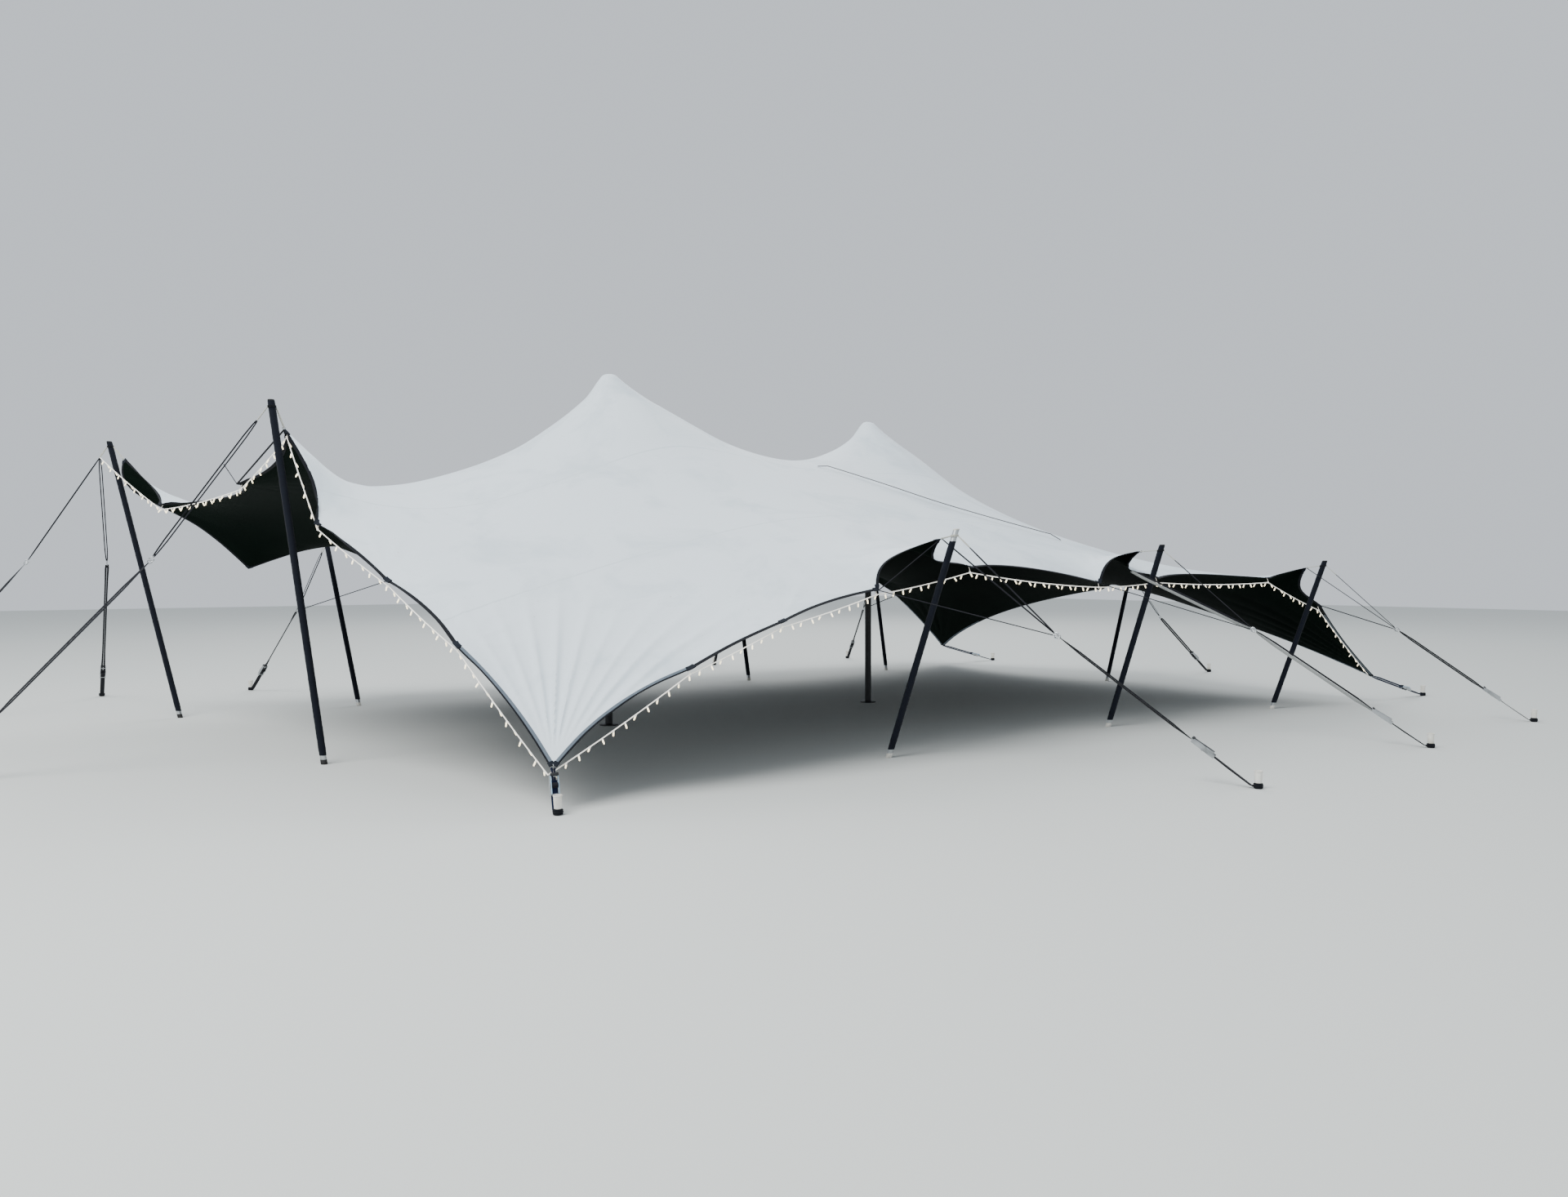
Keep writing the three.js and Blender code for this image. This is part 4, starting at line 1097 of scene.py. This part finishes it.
def main_strap(piece, start, stake, finishes=(WEBBING_BLACK, WEBBING_BLACK),
               widths=(BAND_WIDTH, BAND_WIDTH), lever=ZINC_STEEL, twist=STRAP_TWIST):
    """The doubled strap down to a stake, with its ratchet and the turns round the stake. Below
    the ratchet it is one wide strap, and its loose end lies under it."""
    foot = place(*stake) + UP * TIE_HEIGHT
    toward = unit(level(start - foot))
    landing = foot + toward * LANDING
    length = np.linalg.norm(start - landing)
    ahead = unit(landing - start)
    beside = -sideways(ahead)
    up = np.cross(ahead, beside)
    size = min(RATCHET_LENGTH, length * RATCHET_SHARE)
    middle = landing - ahead * min(RATCHET_FROM_STAKE, length * RATCHET_SHARE)
    shares = np.array([0, 0.03, 0.15, 0.5, 0.8, 0.92, 0.97, 1])
    turns = twist * np.interp(shares, [0, 0.15, 0.8, 1], [0.4, 1, 1, 0])
    lifts = np.array([math.cos(a) * up + math.sin(a) * beside for a in turns])
    apart = BAND_APART / 2 * np.interp(shares, [0, 0.03, 1], [0.5, 1, 1])
    offsets = np.cross(lifts, ahead) * apart[:, None]
    for side, finish, width in zip((-1, 1), finishes, widths):
        path = [start + (middle - start) * s + side * off for s, off in zip(shares, offsets)]
        piece.add(sweep(path, flat_section(width, STRAP_THICKNESS), lifts), finish)
    low = landing + ahead * 0.004
    wide = flat_section(BAND_WIDTH + BAND_APART, STRAP_THICKNESS)
    halfway = middle * 0.5 + low * 0.5
    piece.add(sweep([middle, halfway, low], wide, up), finishes[0])
    piece.add(sweep([middle - ahead * size * 0.2, halfway - up * 0.006,
                     low - ahead * 0.01 - up * 0.003], wide, up), finishes[0])
    ratchet(piece, middle, ahead, size, lever)
    for height, radius in WRAPS:
        ring_at = level(foot) + UP * height
        piece.add(sweep(circle(ring_at, radius, EAST, NORTH, 24), flat_section(*WRAP_SECTION), UP,
                        ring=True), HEM_BLACK)
    knot, end = (foot + toward * (STAKE_RADIUS + out) for out in (KNOT_OUT, 0.002))
    piece.add(sweep([low, (low + knot) / 2, knot, end], flat_section(*KNOT_SECTION), UP,
                    scale=[1.15, 1.25, 1.1, 0.8]), HEM_BLACK)


def lashing(piece, head, lean, finish):
    """Three turns of thin cord round the pole head, which hold the white ropes."""
    turns = np.linspace(0, 2 * np.pi * CORD_TURNS, 24 * CORD_TURNS + 1)
    radius = POLE_RADIUS + CORD_OUT
    path = [head + lean * z + np.array([radius * math.cos(a), radius * math.sin(a), z])
            for a, z in zip(turns, np.linspace(-CORD_SPREAD, CORD_SPREAD, len(turns)))]
    piece.add(sweep(path, round_section(CORD_RADIUS, 7), np.array([UP] * len(turns))), finish)


def white_loop(piece, start, end, width=0.012):
    """A short closed loop of white rope between two points."""
    ahead = unit(end - start)
    beside = sideways(ahead)
    middle, half = (start + end) / 2, np.linalg.norm(end - start) / 2
    path = [middle + ahead * half * math.cos(a) + beside * width * math.sin(a) * (1 + 0.4 * math.cos(a))
            for a in np.linspace(0, 2 * np.pi * 23 / 24, 24)]
    piece.add(sweep(path, round_section(ROPE_RADIUS, 7), ring=True), ROPE_WHITE)


def join_of(head, stake):
    """Where the straps of a guy come together, on the way to its stake."""
    join = head + JOIN_FRACTION * (place(*stake) - head)
    join[2] = head[2] * JOIN_HEIGHT
    return join


def rope_ends(head, join):
    """The two ends of the white rope that leads from the edge of a head towards a join."""
    leave = head + unit(level(join - head)) * (POLE_RADIUS + ROPE_OUT)
    return leave, leave + unit(join - leave) * ROPE_LENGTH


print("parts of a guy are ready")

# %% [markdown]
# The hem carries the pull at its rig points. The strap's end there lies against the outer edge
# of the hem, so the place is looked up on the fine sheet and moved out by the hem's width. Each
# point keeps that place, the direction outward, the cloth's normal and its place on the sheet.
# One strap takes the hem a little beside a tip instead.

# %% Rig points on the hem
CORNER_OUT, HEM_OUT = 0.004, HEM_WIDTH + 0.001
FLAP_FOOT_AT = sum(FINE_COLUMNS[:21]) + 4
EDGES = {}
for line, inner, up, table, counts in EAVES.values():
    outs = edge_frame(line, inner)
    for step, at in table:
        number = sum(counts[:step])
        reach = CORNER_OUT if number in (0, len(line) - 1) else HEM_OUT
        EDGES[at] = (line[number] + outs[number] * reach, outs[number], up[number], line[number])
FLAP_FOOT = cloth[FLAP_FOOT_AT, 0] - (NORTH + UP) * 0.006
print("rig points", len(EDGES))

# %% [markdown]
# One function builds a guy from its pole's row, from the rope at the head to the turns round the
# stake. The few guys that differ are named above: the pale one, the upright loop and the one
# that has a second stake.

# %% Guys of the perimeter poles
def guy(name):
    """Everything from a pole's head and the hem beside it down to the stake."""
    pole = POLES[name]
    foot, head, tip = place(*pole.foot), place(*pole.head), EDGES[pole.tip][0]
    lean = level(head - foot) / head[2]
    piece = Piece(f"guy_{name}_straps")
    lashing(piece, head, lean, ROPE_WHITE if name == BARE_HEAD else HEM_BLACK)
    to_tip, to_head = unit(level(tip - head)), unit(head - tip)
    white_loop(piece, head + to_tip * (POLE_RADIUS + ROPE_OUT), tip + to_head * 0.010)
    steel_ring(piece, tip + to_head * 0.012, np.cross(to_head, EDGES[pole.tip][2]), *TIP_RING)
    how = {}
    # the pale guy's grey strap is painted light: the sunlit face of the strap next to its shaded black
    # side
    if name == PALE_GUY:
        how = {"finishes": (WEBBING_BLACK, WEBBING_PAINTED_LIT_FACE), "widths": PALE_WIDTHS}
    join = join_of(head, pole.stake)
    leave, bow = rope_ends(head, join)
    white_loop(piece, leave, bow)
    for target in [pole.stake] + [at for other, at in SECOND_STAKES.items() if other == name]:
        meet = join_of(head, target)
        leg(piece, bow, meet, upright=name == UPRIGHT_LOOP)
        ahead = unit(place(*target) - meet)
        steel_ring(piece, meet + ahead * 0.004, np.cross(ahead, UP), *JOIN_RING)
        turn = PALE_TWIST if name == PALE_GUY else STRAP_TWIST
        main_strap(piece, meet + ahead * 0.018, target, twist=turn, **how)
    if name == PALE_GUY:
        leg(piece, FLAP_FOOT, join, upright=True, **how)
    elif name not in HEAD_ONLY:
        side = unit(np.cross(UP, join - tip)) * TIP_LEG_ASIDE
        side = -side if np.dot(side, lean) < 0 else side
        leg(piece, tip + side, join, spread=HEM_LEG_SPREAD)
    for tie in pole.ties:
        leg(piece, EDGES[tie][0], join, spread=HEM_LEG_SPREAD)
    if name in FLAP_ENDS:
        rig = EDGES[FLAP_ENDS[name]][0]
        piece.add(sweep([tip, (tip + rig) / 2, rig], flat_section(*FLAP_STRAP)), WEBBING_BLACK)
        if name in HEAD_ONLY:
            on_leg = leave + (join - leave) * FLAP_TIE_SHARE
            piece.add(sweep([rig, (rig + on_leg) / 2, on_leg], round_section(FLAP_TIE_RADIUS, 7)),
                      WEBBING_BLACK)
    return piece.build("strap", f"guy_{name}")


for name in POLES:
    guy(name)
print("guys", len(POLES))

# %% [markdown]
# The three low corners are pegged straight to the ground: a short doubled strap of navy webbing
# runs from the point of the canopy to the stake, and its ratchet has a pale blue lever.

# %% Corner straps
CORNERS = {"front_left": (FRONT[0][1], (0, 0)), "front_right": (FRONT[-1][1], (12140, 90)),
           "back_right": (BACK[-1][1], (12140, DEPTH - 90))}


def corner_strap(name):
    """The short strap of a pegged corner."""
    tip, stake = CORNERS[name]
    piece = Piece(f"corner_strap_{name}_webbing")
    start = EDGES[tip][0]
    foot = place(*stake) + UP * TIE_HEIGHT
    ahead = unit(foot - start)
    steel_ring(piece, start + ahead * 0.010, np.cross(ahead, UP), *JOIN_RING)
    main_strap(piece, start + ahead * 0.020, stake, (WEBBING_NAVY, WEBBING_NAVY), lever=LEVER_BLUE)
    return piece.build("strap", f"corner_strap_{name}")


for name in CORNERS:
    corner_strap(name)
print("corner straps", len(CORNERS))

# %% [markdown]
# ## Stakes
# Each stake is a round steel bar. A white plastic cup over its head marks it and covers its end.
# The cup is thin, with a rolled lip, and sits a little askew.

# %% Stakes with cups
STAKE_NECK, CUP_HEIGHT, CUP_LOW, CUP_TOP, CUP_ASKEW = 0.042, 0.092, 0.026, 0.032, 0.035


def stake(name, at):
    """A steel bar and a cup with a rolled lip, a little askew."""
    foot = place(*at)
    piece = Piece(f"stake_{name}_cup")
    bar = [(STAKE_RADIUS - 0.002, 0), (STAKE_RADIUS, 0.002), (STAKE_RADIUS, STAKE_NECK + 0.05),
           (STAKE_RADIUS - 0.003, STAKE_NECK + 0.053)]
    piece.add(turned(bar, foot, foot + UP, 20), STAKE_STEEL)
    axis = unit(np.array([*chance.uniform(-CUP_ASKEW, CUP_ASKEW, 2), 1.0]))
    base = foot + UP * (STAKE_NECK + 0.001)
    top = CUP_HEIGHT - 0.003
    cup = [(CUP_LOW - 0.006, 0.001), (CUP_LOW - 0.001, 0), (CUP_LOW, 0.003),
           (CUP_TOP - 0.003, top - 0.010), (CUP_TOP - 0.001, top - 0.008),
           (CUP_TOP, top - 0.004), (CUP_TOP - 0.001, top), (CUP_TOP - 0.004, top),
           (CUP_TOP - 0.006, top - 0.006), (CUP_LOW - 0.001, 0.020), (0.004, 0.018)]
    piece.add(turned(cup, base, base + axis, 32), CUP_PLASTIC)
    return piece.build("stake_cup", f"stake_{name}")


STAKES = {name: pole.stake for name, pole in POLES.items()}
STAKES.update({f"{name}_back": at for name, at in SECOND_STAKES.items()})
STAKES.update({name: at for name, (_, at) in CORNERS.items()})
for name, at in STAKES.items():
    stake(name, at)
print("stakes", len(STAKES))

# %% [markdown]
# ## Light strings
# A white cable is clipped below the eave at the rig points and runs nearly straight between
# them. Short lamps leave it every 10 cm, pointing down and out by turns. The cable is held all
# the way, so it isn't a loose cord. Both strings start on the strap of the pegged corner, just
# below the point of the canopy. The front one ends short of the far corner, and the left one
# ends on the rope of the last pole's head.

# %% Light strings
CABLE_RADIUS, STRING_DROP, STRING_SHORT = 0.0042, 0.050, 0.120
CABLE_STEP, CABLE_SAG, AHEAD_STEP = 0.1, 0.012, 0.02
LAMP_SPACING, LAMP_LENGTH, LAMP_ASIDE, LAMP_ASKEW = 0.100, 0.045, 0.45, 0.25
CLIP_RADIUS, CLIP_WIRE, CLIP_BELOW_HEM = 0.008, 0.0022, 0.014
STRINGS_MEET = place(*FRONT[0][1]) + np.array([-0.029, 0.022, -0.065])


def lamp_part(piece, at, ahead):
    """A socket and a slim lamp, from the cable outward."""
    piece.add(turned([(0.003, 0), (0.006, 0.001), (0.006, 0.014), (0.005, 0.016)], at, at + ahead, 8),
              CABLE_PAINTED_GLOW)
    piece.add(turned([(0.005, 0.014), (0.0062, 0.016), (0.0058, LAMP_LENGTH - 0.004),
                      (0.002, LAMP_LENGTH)], at, at + ahead, 8), LAMP_GLOW)


def light_string(name, eave, end=None):
    """The cable through its clips to its end, with a lamp at every step."""
    points = [place(*at) - UP * STRING_DROP for _, at in eave]
    points[0] = STRINGS_MEET
    points[-1] = points[-1] + unit(points[-2] - points[-1]) * STRING_SHORT if end is None else end
    path = []
    for a, b in zip(points[:-1], points[1:]):
        length = np.linalg.norm(b - a)
        shares = np.linspace(0, 1, max(3, int(length / CABLE_STEP)))[:-1]
        path += [a + (b - a) * s - UP * (CABLE_SAG * length * 4 * s * (1 - s)) for s in shares]
    path.append(points[-1])
    path = np.array(path)
    piece = Piece(f"{name}_cable")
    # the cable's glow is painted light from the lamps
    piece.add(sweep(path, round_section(CABLE_RADIUS, 8)), CABLE_PAINTED_GLOW)
    far = lengths_along(path)
    count = int(far[-1] / LAMP_SPACING)
    for k in range(count):
        reach = (k + 0.5) * LAMP_SPACING
        at = at_length(reach, far, path)
        beside = sideways(at_length(reach + AHEAD_STEP, far, path) - at)
        way = -1 if k % 2 else 1
        drop = way * LAMP_ASIDE * beside - UP + chance.uniform(-LAMP_ASKEW, LAMP_ASKEW, 3)
        lamp_part(piece, at, unit(drop))
    for _, at in eave[1:-1]:
        _, out, _, held = EDGES[at]
        clip = place(*at) - UP * STRING_DROP
        under = held - out * CLIP_BELOW_HEM
        piece.add(sweep([clip, (clip + under) / 2 + out * 0.003, under - UP * 0.006],
                        round_section(CLIP_WIRE, 6)), CABLE_PAINTED_GLOW)
        piece.add(turned([(0.003, -0.010), (CLIP_RADIUS, -0.008), (CLIP_RADIUS, 0.008),
                          (0.003, 0.010)], clip, clip + UP, 12), CABLE_PAINTED_GLOW)
    print(name, count, "lamps on", round(far[-1], 2), "m")
    return piece.build("light_cable", name)


TIPS = [pole.tip for pole in POLES.values()]
light_string("light_string_front", [entry for entry in FRONT if entry[1] not in TIPS])
last_head = place(*POLES["l2"].head)
light_string("light_string_left", LEFT, rope_ends(last_head, join_of(last_head, POLES["l2"].stake))[1])

# %% [markdown]
# ## Roof strap
# One thin grey-brown strap lies across the roof behind the front eave, just clear of the cloth,
# and touches it at both ends.

# %% Roof strap
ROOF_STRAP = [(4650, 3130), (5030, 2550), (5450, 2030), (6000, 1670), (6570, 1340)]
STRAP_CLEAR, END_DROP = 0.045, 0.8


def on_cloth(x, y, raise_by=0.0):
    """The place on the top of the cloth above a point of the plan."""
    spot = place(x, y)
    gap = np.hypot(cloth[..., 0] - spot[0], cloth[..., 1] - spot[1])
    k = np.unravel_index(np.argmin(gap), gap.shape)
    return cloth[k] + normals[k] * raise_by


piece = Piece("roof_strap")
knots = np.array([on_cloth(*spot, STRAP_CLEAR) for spot in ROOF_STRAP])
path = smooth_line(knots, [6] * (len(knots) - 1))
path[[0, -1]] -= UP * (STRAP_CLEAR * END_DROP)
piece.add(sweep(path, flat_section(0.018, 0.009)), WEBBING_TAUPE)
piece.build("strap")
print("roof strap", len(path), "points")
